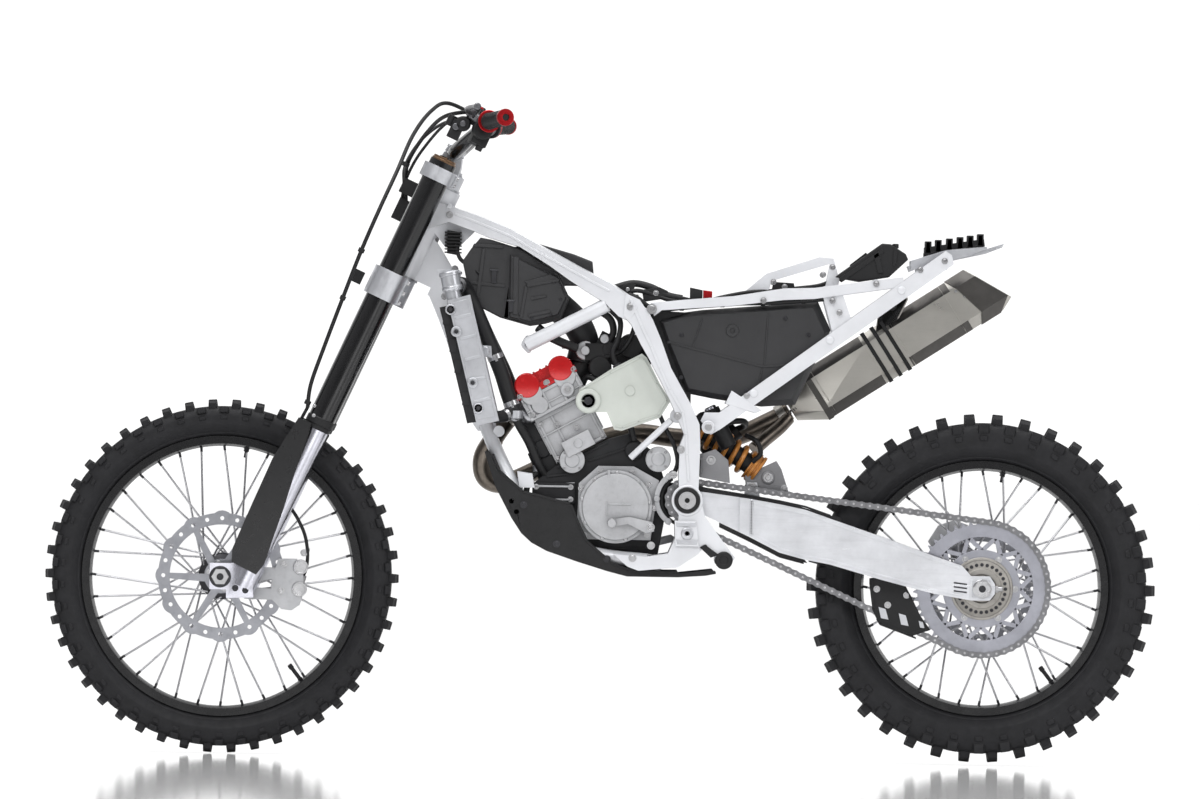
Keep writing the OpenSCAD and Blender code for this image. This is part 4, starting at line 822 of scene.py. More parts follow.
# ---------------------------------------------------------------- cooling
def cooling():
    h = Batch("coolant_lines", "rubber", hide=["coolant_hoses"])
    top = [(1052, 128, 918), (1034, 96, 928), (1018, 76, 900), (986, 76, 830)]
    left = h.tube(top + [(956, 76, 760), (940, 74, 712), (926, 74, 676)], 15, 24, 10)
    h.tube([(928, 74, 690), (944, 84, 672), (966, 104, 668)], 12, 20, 8)
    h.tube([(x, -y, z) for x, y, z in top + [(954, 78, 766), (932, 88, 718), (906, 86, 686), (880, 60, 668)]],
           15, 24, 10)
    k = Batch("hose_clamps", "steel", 0.3)
    for a, b in ((left[6], left[7]), (left[36], left[37]), (left[54], left[55])):
        k.lathe(a, b - a, [(15.1, -5), (15.9, -5), (15.9, 5), (15.1, 5)], 28)
        k.cyl(a + YV * mm(12), b - a, 4, 9, 10)
    k.lathe((944, 84, 672), P(966, 104, 668) - P(928, 74, 690), [(12.1, -4), (12.9, -4), (12.9, 4), (12.1, 4)], 24)

    core = Pair("radiator_fins", "fins")
    for i in range(44):
        t = i / 43
        x0, x1, z = 1057.5 - t * 59.5, 1075 - t * 57, 882 - t * 222
        core.poly([P(x0, 99, z), P(x1, 99, z - 5), P(x1, 147, z - 5), P(x0, 147, z)], ZV, 1.4)
    core.plate([(1056, 887), (1077.6, 882), (1019.6, 654.6), (1000, 658)], 98, 149)
    for t in (0.1, 0.34, 0.52, 0.8):
        core.box((1070 - 58 * t, 149, 884 - 226 * t), (13, 5, 26))

    r = Pair("radiator_trim", "alloy", 0.8)
    r.plate([(1022, 900), (1056, 890), (1000, 662), (965, 670)], 158, 159.2)
    for t in (0.12, 0.3, 0.48, 0.66, 0.84):
        x, z = 1056 - 56 * t, 890 - 228 * t
        r.plate([(x - 34, z + 10), (x - 2, z + 1.6), (x - 4, z - 4), (x - 35.4, z + 4.4)], 159, 160.6)
    upper, lower = ((1056, 878), (998, 685)), ((1044, 835), (1010, 735))
    for x, z in upper + lower:
        r.lathe((x, 159, z), YV, [(10.5, -2), (10.5, 4), (9.5, 5), (6, 5), (5.5, 3.5)], 26)
    d = V(math.sin(math.radians(12)), 0, math.cos(math.radians(12)))
    filler = P(1052, 136, 915)
    r.lathe(filler, d, [(19.4, 2), (20.4, 4), (20.4, 8), (19.4, 10)], 32)
    r.lathe(filler, d, [(19.2, 30), (21, 31), (21, 37), (19, 39), (8, 39.6)], 32)
    r.box(filler + d * mm(39.5), (46, 12, 5), (XV, YV, d))
    b = Pair("radiator_bolts", "dark")
    b.bolts(upper, 163, 5, 3, hexa=True)
    b.bolts(lower, 162.4, 3, 2)


cooling()


# ---------------------------------------------------------------- airbox and intake
def airbox():
    a = Pair("airbox_ribs", "charcoal", 0.8)
    for pts in ([(843, 938), (905, 925), (908, 930), (846, 944)], [(905, 925), (915, 864), (920, 864), (911, 928)],
                [(846, 944), (862, 951), (912, 936), (905, 930)], [(858, 876), (902, 866), (904, 871), (862, 882)],
                [(924, 984), (934, 985), (934, 872), (924, 870)], [(868, 906), (898, 900), (899, 905), (869, 911)]):
        a.plate(pts, 69.6, 72.8)
    a.plate([(955, 1008), (1012, 1010), (1016, 1004), (956, 1001)], 57.5, 61.5)
    a.plate([(990, 1000), (996, 1000), (1008, 900), (1001, 898)], 57.5, 61)
    a.plate([(950, 930), (1020, 936), (1020, 930), (950, 924)], 57.5, 60.5)
    c = Pair("airbox_clips", "dark", 0.5)
    for x, y, z, dz in ((972, 57.6, 946, 14), (938, 69.6, 888, 12)):
        c.plate([(x - 5, z + dz), (x + 5, z + dz), (x + 4, z - dz), (x - 4, z - dz)], y, y + 5)
        c.cyl((x - 8, y + 4, z + dz - 2), XV, 2, 16, 10)
    c.bolts([(852, 936), (840, 902), (858, 872), (896, 864), (920, 872), (926, 976)], 69.4, 2.8, 2.2, washer=False)

    m = Batch("intake_pipe", "plastic", 0.5)
    m.tube([(824, 0, 738), (800, 0, 768), (788, 0, 806), (806, 0, 852), (846, 0, 890)], [24, 25, 27, 29, 30], 28, 8)
    m.lathe((792, 0, 790), P(788, 0, 812) - P(795, 0, 782), [(25, -12), (33, -11), (33, 15), (25, 16)], 30)
    m.box((768, 18, 800), (44, 46, 34))
    m.tilted((728, 0, 800), (88, 66, 52), 0.43 / 0.9)
    m.cyl((700, -36, 812), YV, 25, 78, 30, 3)
    m.cyl((760, -30, 770), YV, 23, 74, 28, 3)
    m.tilted((676, 6, 790), (40, 56, 76), 0.43 / 0.9)
    m.cyl((742, -20, 806), YV, 14, 62, 20, 1)
    for r, sides, route in (
            (6, 12, [(676, 30, 820), (664, 44, 800), (672, 50, 772), (700, 44, 756), (740, 40, 762)]),
            (7, 14, [(752, 30, 812), (735, 44, 838), (742, 56, 866), (770, 50, 884)]),
            (5, 12, [(760, 34, 788), (722, 50, 800), (700, 58, 830), (690, 62, 862), (684, 70, 884)]),
            (9, 14, [(806, 44, 806), (838, 52, 818), (866, 50, 832), (884, 44, 846)])):
        m.tube(route, r, sides)
    mt = Batch("intake_metal", "castlight", 0.8)
    mt.cyl((790, 22, 802), YV, 19, 18, 26, 2)
    mt.cyl((790, 39, 802), YV, 9, 8, 20, 1)
    mt.lathe((816, 0, 750), P(800, 0, 768) - P(824, 0, 738), [(25, -8), (30, -7), (30, 4), (25, 5)], 28)
    mt.cyl((752, 24, 826), YV, 9, 22, 16, 1)
    mt.box((826, 46, 812), (20, 8, 14))


airbox()

# ---------------------------------------------------------------- engine
LEAN = math.radians(28.4)
EX, EZ = V(math.cos(LEAN), 0, -math.sin(LEAN)), V(math.sin(LEAN), 0, math.cos(LEAN))
ENGINE_AXES = (EX, YV, EZ)


def E(x, y, z):
    """A place on the cylinder, z up along its axis from the crankcase."""
    return P(791, y, 601) + EX * mm(x) + EZ * mm(z)


def circle(x, y, z, r, n, phase=0.0):
    """n even places round (x, z)."""
    turn = [math.radians(phase + 360 * i / n) for i in range(n)]
    return [P(x + r * math.cos(a), y, z + r * math.sin(a)) for a in turn]


CLUTCH, STARTER, WATER_PUMP, RIGHT_COVER = (725, 495), (642, 590), (812, 585), (735, 495)


def engine():
    c = Pair("cylinder_ribs", "castlight", 1.0)
    for z, h in ((6, 6), (62, 3), (93, 7)):
        c.box(E(0, 51.5, z + h / 2), (112, 5, h), ENGINE_AXES)
    for z, h in ((101, 6), (118, 3), (141, 6)):
        c.box(E(0, 67, z + h / 2), (124, 4, h), ENGINE_AXES)
    for x in (-50, 22, 50):
        c.box(E(x, 51.2, 50), (4, 4, 92), ENGINE_AXES)
    for x in (-56, -20, 16, 52):
        c.box(E(x, 66.8, 124), (5, 4, 44), ENGINE_AXES)
    for x, y, z, r, h, n, cham in ((-30, 66, 124, 14, 7, 26, 1.5), (32, 66, 122, 17, 5, 26, 1.5),
                                   (-37, 66, 149, 22, 4.8, 34, 1.4), (37, 66, 149, 22, 4.8, 34, 1.4),
                                   (0, 72, 20, 9, 3, 22, 1)):
        c.cyl(E(x, y, z), YV, r, h, n, cham)
    c.box(E(0, 62, 20), (60, 22, 32), ENGINE_AXES)
    c.sides = (1,)
    for x in (57, -57):
        c.box(E(x, 0, 60), (4, 86, 70), ENGINE_AXES)
    r = Pair("valve_cover_rims", "red", 1.0)
    for x in (-37, 37):
        r.lathe(E(x, 69.5, 168), YV, [(24.6, -3), (24.6, 1.4), (22.6, 3), (14, 3.8), (1, 4)], 40)
    r.box(E(0, 67.6, 150.5), (126, 3, 4), ENGINE_AXES)
    r.sides = (1,)
    for x in (-14, 0, 14):
        r.box(E(x, 0, 184.6), (4, 100, 4), ENGINE_AXES)
    g = Pair("engine_gaskets", "dark")
    for y, z, size in ((66.3, 147.2, (125, 3.2, 1.6)), (50.6, 99.4, (114, 3, 1.4)), (50.6, 4.4, (114, 3, 1.4))):
        g.box(E(0, y, z), size, ENGINE_AXES)

    b = Pair("engine_bolts", "steel")
    for x in (-58, 58, 0):
        b.bolt(E(x, 68, 155), YV, 4.6, 4)
    for x, y, z in ((-50, 53, 12), (50, 53, 12), (-50, 53, 88), (50, 53, 88), (-12, 53, 50), (20, 53, 72),
                    (52, 68, 110), (-56, 68, 112)):
        b.bolt(E(x, y, z), YV, 4.0, 3.6)
    b.bolt(E(-30, 73, 124), YV, 5, 3)
    b.sides = (1,)
    for (x, z), y, far, n, phase, d, size, h in (
            (CLUTCH, 99.6, 67, 9, 12, YV, 3.8, 3.2), (STARTER, 77.6, 20, 4, 45, YV, 2.8, 2.4),
            (WATER_PUMP, 67.6, 21, 4, 45, YV, 2.8, 2.4), (RIGHT_COVER, -97.6, 73, 8, 0, -YV, 4.2, 3.6)):
        for p in circle(x, y, z, far, n, phase):
            b.bolt(p, d, size, h, washer=False)
    b.bolts([(660, 540), (662, 440), (786, 438), (793, 530), (756, 566), (692, 566), (648, 494)], 73.6, 4.4, 4.2)
    b.bolts([(814, 508), (882, 508), (882, 532), (814, 532)], 61.6, 3.8, 3.4)

    v = Batch("cover_relief", "castlight", 1.0)
    for (x, z), y, d, n, prof in (
            (CLUTCH, 99, YV, 64, [(71, 0), (71, 1.6), (62.5, 1.6), (62.5, 0)]),
            (CLUTCH, 103, YV, 64, [(66, 0), (65, 2.2), (60, 3), (1, 3.6)]),
            (STARTER, 77.4, YV, 36, [(24, 0), (24, 1.6), (14, 1.6), (12, 3), (7, 3)]),
            (WATER_PUMP, 67.4, YV, 36, [(25, 0), (25, 1.6), (15, 1.6), (13, 3.4), (6, 3.4)]),
            (RIGHT_COVER, -97.5, -YV, 64, [(78, 0), (78, 2), (64, 2), (64, 0.3)]),
            (RIGHT_COVER, -97.5, -YV, 40, [(30, 0), (30, 2.4), (24, 3.4), (10, 3.4)])):
        v.lathe((x, y, z), d, prof, n)
    v.box((716, 107, 500), (44, 2, 3))
    v.box((742, 107, 492), (3, 2, 30))
    v.box((739, 104, 545), (6, 4, 44))
    for z in (505, 531):
        v.plate([(812, z), (884, z), (884, z + 4), (812, z + 4)], 61.5, 64.5)
    v.plate([(806, 504), (886, 504), (890, 512), (884, 534), (806, 542)], 50, 61.6)

    k = Pair("crankcase_ribs", "engine", 1.0)
    for line in ([(812, 420), (880, 500)], [(800, 408), (850, 438)], [(742, 622), (842, 570)],
                 [(700, 634), (650, 598)], [(860, 444), (882, 500)], [(806, 560), (862, 552)],
                 [(700, 612), (780, 584)]):
        k.ribs(line, 52.6, 5, 4.5)
    k.plate([(640, 410), (800, 410), (800, 415), (640, 415)], 50, 55)
    k.sides = (1,)
    k.tilted((868, 0, 578), (44, 74, 60), -0.4 / 0.9)
    k.cyl((872, -44, 606), YV, 19, 84, 26, 3)
    k.tilted((890, 6, 640), (28, 60, 66), -0.38 / 0.92)
    k.lathe((860, 50, 470), YV, [(17, 0), (17, 6), (15, 8), (8, 8)], 30)
    k.cyl((690, 50, 606), YV, 18, 12, 26, 2)
    k.lathe((600, 60, 512), YV, [(20, -6), (20, 0), (17, 2), (9, 2)], 30)

    ga = Batch("sprocket_guard", "castlight", 0.8)
    turn = [math.radians(-62 + 124 * i / 18) for i in range(19)]

    def arc(r, a):
        return (590 + r * math.cos(a), 512 + r * math.sin(a))

    ga.plate([arc(59, a) for a in turn] + [arc(49, a) for a in reversed(turn)], 75, 81)
    for a in (turn[1], turn[9], turn[-2]):
        x, z = arc(54, a)
        ga.cyl((x, 46, z), YV, 6.5, 37, 20, 1)

    u = Batch("engine_plumbing", "rubber")
    u.tube([E(-62, 30, 120), E(-82, 40, 124), (716, 56, 700), (700, 60, 660), (690, 58, 626)], 6)
    u.tube([(866, 44, 556), (880, 54, 580), (898, 56, 620), (918, 62, 654), (926, 70, 676)], 9, 14)
    u.tube([(858, 62, 470), (882, 66, 470), (900, 62, 500), (898, 52, 540), (880, 44, 560)], 6)
    t = Batch("engine_fittings", "alloy", 0.6)
    t.plate([(973, 785), (1002, 788), (1000, 810), (975, 808)], 82, 98)
    t.cyl((988, 66, 797), YV, 10, 40, 20, 1)
    t.lathe((926, 74, 678), -ZV, [(13, -4), (15.6, -3), (15.6, 12), (12, 14)], 26)
    t.cyl((880, 40, 562), ZV, 10, 12, 20, 1)
    t.cyl((926, 40, 672), YV, 12, 34, 22, 1)
    t.tube([E(40, 44, 118), E(62, 44, 110), (912, 44, 676), (926, 44, 672)], 12, 16, 6)


engine()


# ---------------------------------------------------------------- tanks
def tanks():
    o = Batch("overflow_details", "milky", 1.2)
    o.ribs([(796, 726), (740, 759), (682, 790), (674, 786), (648, 739), (628, 706), (644, 677), (682, 664),
            (714, 652), (726, 654)], 90.4, 3, 3.4, 3)
    o.lathe((782, 90, 703), YV, [(24, -1), (24, 3.6), (22, 5), (15, 5), (14, 2)], 40)
    o.lathe((700, 90, 724), YV, [(10, -1), (10, 2), (9, 3), (3, 3)], 28)
    s = Batch("overflow_bolt", "dark", 0.3)
    s.bolt((782, 89, 703), YV, 9, 5, hexa=True)
    s.lathe((782, 70, 703), YV, [(6.9, 0), (6.9, 20), (6, 20)], 20)
    s.cyl((722, 80, 766), V(0.5, 0, 0.85), 9, 12, 20, 1)
    h = Batch("overflow_hose", "rubber")
    h.tube([(727, 80, 774), (736, 78, 800), (724, 74, 830), (722, 66, 862), (742, 58, 884)], 5.5)
    h.tube([(640, 80, 676), (628, 84, 650), (612, 86, 620), (604, 84, 585), (612, 80, 560)], 4.5)
    t = Pair("tank_ridges", "charcoal", 0.9)
    for line, high in (([(628, 822), (440, 776)], 4), ([(440, 776), (352, 782)], 4), ([(430, 880), (436, 778)], 3),
                       ([(440, 772), (452, 716)], 3), ([(560, 868), (578, 812)], 3)):
        t.ribs(line, 79.6, 4.4, high)
    t.lathe((500, 78.5, 846), YV, [(13, 0), (13, 3), (11.5, 4), (5, 4), (4.6, 2)], 32)
    sh = Pair("tank_front", "plastic", 1.0)
    sh.plate([(664, 884), (640, 790), (618, 706), (580, 700), (580, 880)], 62, 68)
    b = Pair("tank_bolts", "dark")
    b.bolts([(600, 836), (600, 752), (470, 728), (392, 752), (350, 840), (396, 872)], 79.4, 4, 3, washer=False)


tanks()

# ---------------------------------------------------------------- exhaust
SLOPE = math.radians(33)
SX, SZ = V(-math.cos(SLOPE), 0, math.sin(SLOPE)), V(-math.sin(SLOPE), 0, -math.cos(SLOPE))
CAN_Y, CAN_W, CAN_H, CAN_L = -127, 39, 54, 470  # the silencer's middle, half width, half height and length
CUT = 20  # height of its bevelled edges


def L(x, y, z):
    """A place on the silencer, x back along it from its front."""
    return P(378, y, 690) + SX * mm(x) + SZ * mm(z)


def octagon(g):
    """The silencer's section, grown by g."""
    w, h = CAN_W, CAN_H
    return [(-w - g, CUT - h), (22 - w, -h - g), (w - 22, -h - g), (w + g, CUT - h),
            (w + g, h - CUT), (w - 22, h + g), (22 - w, h + g), (-w - g, h - CUT)]


def exhaust():
    p = Batch("header_pipe", "pipe", hide=["exhaust_pipe"])
    c = p.tube([(900, -12, 668), (932, -44, 672), (968, -74, 626), (990, -92, 586), (984, -102, 548),
                (950, -114, 536), (890, -124, 560), (800, -130, 610), (700, -138, 640), (600, -142, 632),
                (500, -136, 634), (420, -128, 668), (382, -126, 690)], 19, 28)
    p.tube([(452, -66, 612), (430, -80, 632), (402, -100, 656), (384, -112, 676)], 14, 22)
    b = Batch("pipe_collars", "titan", 0.4)
    bead = [(19, -3), (20.4, -2), (20.8, 0), (20.4, 2), (19, 3)]
    for i, prof in [(i, bead) for i in (16, 40, 64, 80)] + [
            (i, [(19, -9), (r, -8), (r, 8), (19, 9)]) for i, r in ((6, 22), (92, 23))]:
        b.lathe(c[i], c[i + 1] - c[i], prof, 28)

    s = Batch("silencer_bands", "plastic", 0.6)
    y0, y1, z = CAN_Y + 11.4 - CAN_W, CAN_Y + CAN_W + 2.2, CAN_H + 2.7
    for x in (195.6, 217.6, 239.6):
        s.poly([L(x, y0, -z), L(x, y1, -z), L(x, y1, z), L(x, y0, z)], SX, 7.8)
    e = Batch("silencer_caps", "titan_dark_and_shade", 0.6)
    e.poly([L(54, CAN_Y + y, z) for y, z in octagon(2.2)], SX, 12)
    rings = [[], []]
    for y, z in octagon(2.2):  # the rear cap ends in two slopes that meet at z = 40
        end = CAN_L + 20 + (z - 40) * (50 / 94 if z < 40 else -2)
        for ring, x in zip(rings, (min(CAN_L, end) - 46, end - 1.2)):
            ring.append(e.bm.verts.new(L(x, CAN_Y + y, z)))
    e.skin(rings, smooth=False)
    r = Batch("silencer_rivets", "steel")
    for z in (-28, -10, 10, 28):
        for x in (60, 438 + (z - 40) * 0.53):
            r.cyl(L(x, -88.2, z), YV, 3, 2, 12, 0.8)
    t = Batch("silencer_tail", "dark")
    t.lathe(L(CAN_L - 60, CAN_Y, 0), SX, [(23.8, 2), (23.8, 40), (22, 44), (20, 44), (20, 4)], 36)
    sh = Batch("silencer_sheet", "titan", 0.3)
    for x in (72, 190, 256, 376):
        sh.poly([L(x, CAN_Y + y, z) for y, z in octagon(0.5)], SX, 2.4)
    # painted shade: the bevelled corner facets, top and bottom, get a darker copy of the titanium for the shade that
    # falls on them
    bv = Batch("silencer_bevel_shade", "titan_dark_and_shade", 0.2)
    corner = [(CAN_W + 0.5, CAN_H - CUT), (CAN_W - 22, CAN_H + 0.5), (CAN_W - 23, CAN_H - 1),
              (CAN_W - 1.2, CAN_H - 21)]
    for sy, sz in ((-1, -1), (-1, 1), (1, -1), (1, 1)):
        for x0, x1 in ((66, 189), (253, 392)):
            bv.poly([L(x0, CAN_Y + sy * y, sz * z) for y, z in corner], SX, x1 - x0)
    k = Batch("silencer_hanger", "plastic", 1)
    k.plate([(206, 908), (162, 938), (152, 915), (176, 864), (214, 847)], -103, -97)
    k.cyl((182, -106, 900), YV, 9, 12, 22, 1)
    sp = Batch("pipe_springs", "dark")
    for y in (-148, -104):
        a = P(396, y, 676)
        sp.tube(helix(a, P(356, y, 704) - a, 3.6, 10, 60), 0.9, 6, 1)


exhaust()


# ---------------------------------------------------------------- rear frame
def rail_y(x):
    """How far out the subframe's lower rail is at x."""
    return 96 - 12 * (545 - x) / 470


def rear():
    w = Pair("subframe_tabs", "white", 1.0)
    w.plate([(500, 728), (440, 690), (452, 684), (512, 702)], 101, 104)
    for t in (0.18, 0.5, 0.8):
        x, z = 540 - 465 * t, 655 + 335 * t
        w.lathe((x, rail_y(x) + 8.6, z + 8), YV, [(8, 0), (8, 2), (7, 2.6)], 24)
    w.lathe((545, 118, 655), YV, [(13, 0), (13, 4), (11.6, 5)], 28)
    b = Pair("subframe_bolts", "steel")
    for x, y, z in ((545, 122.6, 655), (660, 123.6, 886)):
        b.bolt((x, y, z), YV, 7, 4)
    for x, z in ((304, 908), (290, 885), (84, 990), (132, 972), (218, 943), (440, 906), (470, 718)):
        b.bolt((x, rail_y(x) + 9, z), YV, 4.2, 3)
    b.bolts([(304, 975), (420, 944), (322, 960)], 45.6, 4, 3)
    b.bolts([(654, 420), (598, 610), (612, 560), (690, 395), (702, 890), (606, 676)], 120.6, 5.4, 4)
    for x, y, z in ((1062, 45, 1066), (1050, 21.6, 960), (1070, 21.6, 905)):
        b.bolt((x, y, z), YV, 4.6, 3.4)
    b.bolt((100, 34, 1001), ZV, 4, 3)

    u = Pair("side_plate_relief", "white", 1.2)
    edge = [(712, 905), (690, 852), (670, 812), (652, 770), (632, 728), (606, 684), (598, 640), (596, 600),
            (592, 548)]
    u.ribs([(x - 10, z) for x, z in edge], 121.2, 3, 5, 2)
    u.lathe((584, 120.6, 510), YV, [(31, 0), (31, 1.6), (29.5, 3), (26, 3), (25.5, 1)], 44)
    u.sides = (1,)
    spar = [(1052, 1072), (1000, 1053), (940, 1029), (900, 1006), (860, 985), (800, 953), (744, 924)]
    flare = 78 / 362  # how fast the spars spread towards the rear
    for (x0, z0), (x1, z1) in zip(spar, spar[1:]):
        d, x = V(x1 - x0, (x0 - x1) * flare, z1 - z0), (x0 + x1) / 2
        for s in (1, -1):
            across = V(flare, s, 0)
            u.box((x, s * (43.1 + (1062 - x) * flare), (z0 + z1) / 2 - 4), (math.hypot(d.x, d.z) + 2, 2.4, 5),
                  (flip(d, s), across, d.cross(across)))
    weld = Batch("frame_welds", "white")
    for path, k in (([P(1062, 44, 1084), P(1074, 30, 1066), P(1080, 26, 1050)], 7),
                    ([P(988, 24, 668), P(975, 36, 640), P(966, 26, 616)], 7),
                    ([P(902, 60, 800), P(912, 62, 812), P(904, 62, 826)], 4)):
        for q in spline(path, k):
            for s in (1, -1):
                weld.cyl(flip(q, s) - YV * mm(2.4), YV, 4.4, 4.8, 10, 1.4)

    k = Pair("footpeg_parts", "alloy", 0.8)
    k.plate([(564, 424), (602, 424), (604, 434), (562, 434)], 126.8, 128.4)
    k.plate([(566, 458), (604, 458), (605, 467), (567, 467)], 126.8, 128.4)
    k.lathe((583, 126.8, 445), YV, [(12, 0), (12, 2.2), (10.6, 3), (5.2, 3), (5.2, 0)], 32)
    e = Pair("plate_ends", "plastic", 0.8)
    e.lathe((510, 123.6, 393), YV, [(17.6, -10), (17.6, 2), (15.6, 4), (9, 4), (8, 2.4), (3, 2.4)], 36)
    e.lathe((584, 120.8, 510), YV, [(25, 0), (25, 4.6), (23.4, 5.6), (18, 5.6), (17.6, 3)], 40)
    e.plate([(520, 404), (548, 424), (558, 418), (536, 398)], 118, 126)
    e.plate([(560, 560), (596, 566), (598, 590), (572, 600), (558, 590)], 101, 110)
    r = Batch("tail_ribs", "rubber", 0.8, slot="grip_rubber")
    for i, x in enumerate((115, 95, 73, 52, 32, 12)):
        r.box((x, 0, 1017.5 + i * 3.2), (13, 48, 23.6))
    r.plate([(123, 1002), (123, 1017), (5, 1036), (3, 1021)], -23, 23)
    bx = Pair("rear_box_details", "plastic", 1.0)
    bx.plate([(292, 952), (208, 1012), (202, 1006), (284, 946)], 61.6, 64.6)
    bx.plate([(204, 964), (214, 964), (224, 1000), (214, 1006)], 61.6, 64.6)
    bx.plate([(176, 1010), (184, 1014), (186, 976), (178, 984)], 61.6, 64.2)
    bx.cyl((180, 50, 1014), ZV, 6, 9, 16, 1)
    bx.sides = (1,)
    bx.box((250, 0, 988), (40, 60, 12), (V(-0.78, 0, 0.62), YV, V(0.62, 0, 0.78)))


rear()


# ---------------------------------------------------------------- wiring
def wiring():
    w = Batch("loom", "rubber", hide=["wiring"])
    for r, sides, route in (
            (5, 14, [(716, 66, 918), (690, 72.5, 908), (655, 73.5, 886), (600, 73.5, 890), (560, 73.5, 894),
                     (500, 73.5, 900), (440, 73.5, 902), (380, 73.5, 906), (315, 73.5, 912), (290, 73.5, 914)]),
            (7, 14, [(740, 60, 924), (700, 58, 936), (664, 60, 930), (630, 64, 914), (600, 66, 908)]),
            (4.4, 12, [(726, 62, 912), (690, 70, 922), (650, 66, 912), (622, 70, 904), (590, 68, 902)]),
            (4.4, 12, [(600, 66, 908), (560, 60, 902), (520, 58, 912), (470, 52, 922), (420, 40, 926),
                       (372, 30, 932), (330, 24, 938), (300, 20, 950)]),
            (4, 12, [(1050, 40, 1010), (1040, 46, 980), (1020, 50, 966), (1000, 58, 950)]),
            (5, 12, [(740, 60, 924), (770, 58, 938), (800, 54, 950)])):
        w.tube(route, r, sides)
    b = Batch("loom_blocks", "plastic", 1.0)
    for y0, y1, xz in ((52, 72, [(736, 920), (706, 938), (692, 934), (700, 914), (722, 906)]),
                       (54, 70, [(676, 900), (640, 906), (628, 922), (646, 930), (680, 924)]),
                       (60, 76, [(585, 894), (560, 895), (560, 925), (585, 930)]),
                       (62, 78, [(612, 896), (594, 894), (592, 908), (610, 912)]),
                       (26, 46, [(424, 926), (376, 926), (380, 942), (420, 944)]),
                       (26.3, 40, [(1040, 1032), (1066, 1036), (1066, 990), (1042, 986)])):
        b.plate(xz, y0, y1)
    for i in range(7):
        z = 990 + i * 6.6
        b.plate([(1037, z), (1071, z + 0.6), (1071, z + 3.4), (1037, z + 2.8)], 26.3, 49)
    for x, z in ((690, 908), (655, 887), (600, 890), (520, 898), (440, 902), (360, 908)):
        b.cyl((x + 5, 73.5, z), -XV, 6.4, 9, 14, 1)
    r = Batch("connector_red", "rednylon", 0.8)
    r.plate([(559, 896), (541, 897), (541, 923), (559, 925)], 61, 75)
    s = Batch("loom_bolts", "steel")
    for x, y, z in ((708, 70, 924), (652, 70, 918), (398, 45.6, 935)):
        s.bolt((x, y, z), YV, 4, 3)


wiring()


# ---------------------------------------------------------------- swingarm, shock, drive
def swingarm():
    a = Pair("swingarm_details", "arm", 1.0)
    a.plate([(455, 512), (459, 512), (459, 446), (455, 446)], 108, 109.4)
    for line in ([(452, 506), (400, 496), (350, 487), (300, 470), (200, 437), (100, 402), (44, 384)],
                 [(452, 446), (400, 418), (350, 404), (300, 396), (200, 368), (100, 343), (40, 332)]):
        a.ribs(line, 108.2, 2, 4.5, 1.5)
    a.plate([(-22, 352), (24, 364), (24, 326), (-22, 338)], 107.8, 110)
    w = Pair("swingarm_weld", "arm")
    for i in range(22):
        w.cyl((457, 108.6, 446 + i * 3.1), YV, 3.4, 1.6, 10, 0.8)
    g = Pair("axle_blocks", "alloy", 0.8)
    g.plate([(-16, 362), (20, 362), (20, 328), (-16, 328)], 109.4, 112)
    for x in (-11, -5, 6, 12):
        g.plate([(x, 361), (x + 1.2, 361), (x + 1.2, 355), (x, 355)], 111.8, 112.5)
    sl = Pair("axle_slots", "dark", 0.3)
    for z in (339, 347, 355):
        sl.plate([(56, z), (30, z - 3), (30, z), (56, z + 3)], 109.4, 110.6)
    sl.cyl((0, 112.6, AXLE_Z), YV, 7.5, 2.4, 20, 0.6)
    d = Pair("axle_hardware", "steel", 0.4)
    d.cyl((-25, 94, AXLE_Z), -XV, 5, 16, 18, 1)
    d.cyl((-26, 94, AXLE_Z), -XV, 7.4, 6, 6)
    d.lathe((0, 111.6, AXLE_Z), YV, [(19, 0), (19, 1.6), (17.6, 2.2)], 36)
    b = Batch("slider_strips", "plastic", 0.6)
    b.plate([(586, 540), (560, 531), (462, 518), (400, 509), (350, 499), (300, 482), (300, 486), (350, 503),
             (400, 513), (460, 523), (548, 536), (578, 544)], 76, 92)
    b.plate([(520, 462), (460, 434), (400, 405), (352, 392), (352, 388), (400, 400), (460, 430), (520, 458)], 76, 92)
    c = Batch("guide_bolts", "steel", 0.3)
    c.bolts([(207, 341), (148, 330), (185, 310)], 79.8, 4.6, 3)
    i = Batch("guide_inserts", "alloy", 0.3)
    for x, z, k in ((194, 293, 1), (154, 281, 1), (118, 272, 0.6)):
        i.plate([(x + u * k, z + v * k) for u, v in ((9, 13), (-5, 9), (-11, -12), (4, -9))], 79.9, 81.1)
    f = Batch("guide_frame", "plastic", 0.6)
    f.ribs([(218, 358), (212, 302), (198, 274), (142, 252), (106, 266)], 80.2, 3, 4.5, 3)
    f.ribs([(138, 322), (152, 346), (200, 362)], 80.2, 3, 4.5, 3)


swingarm()


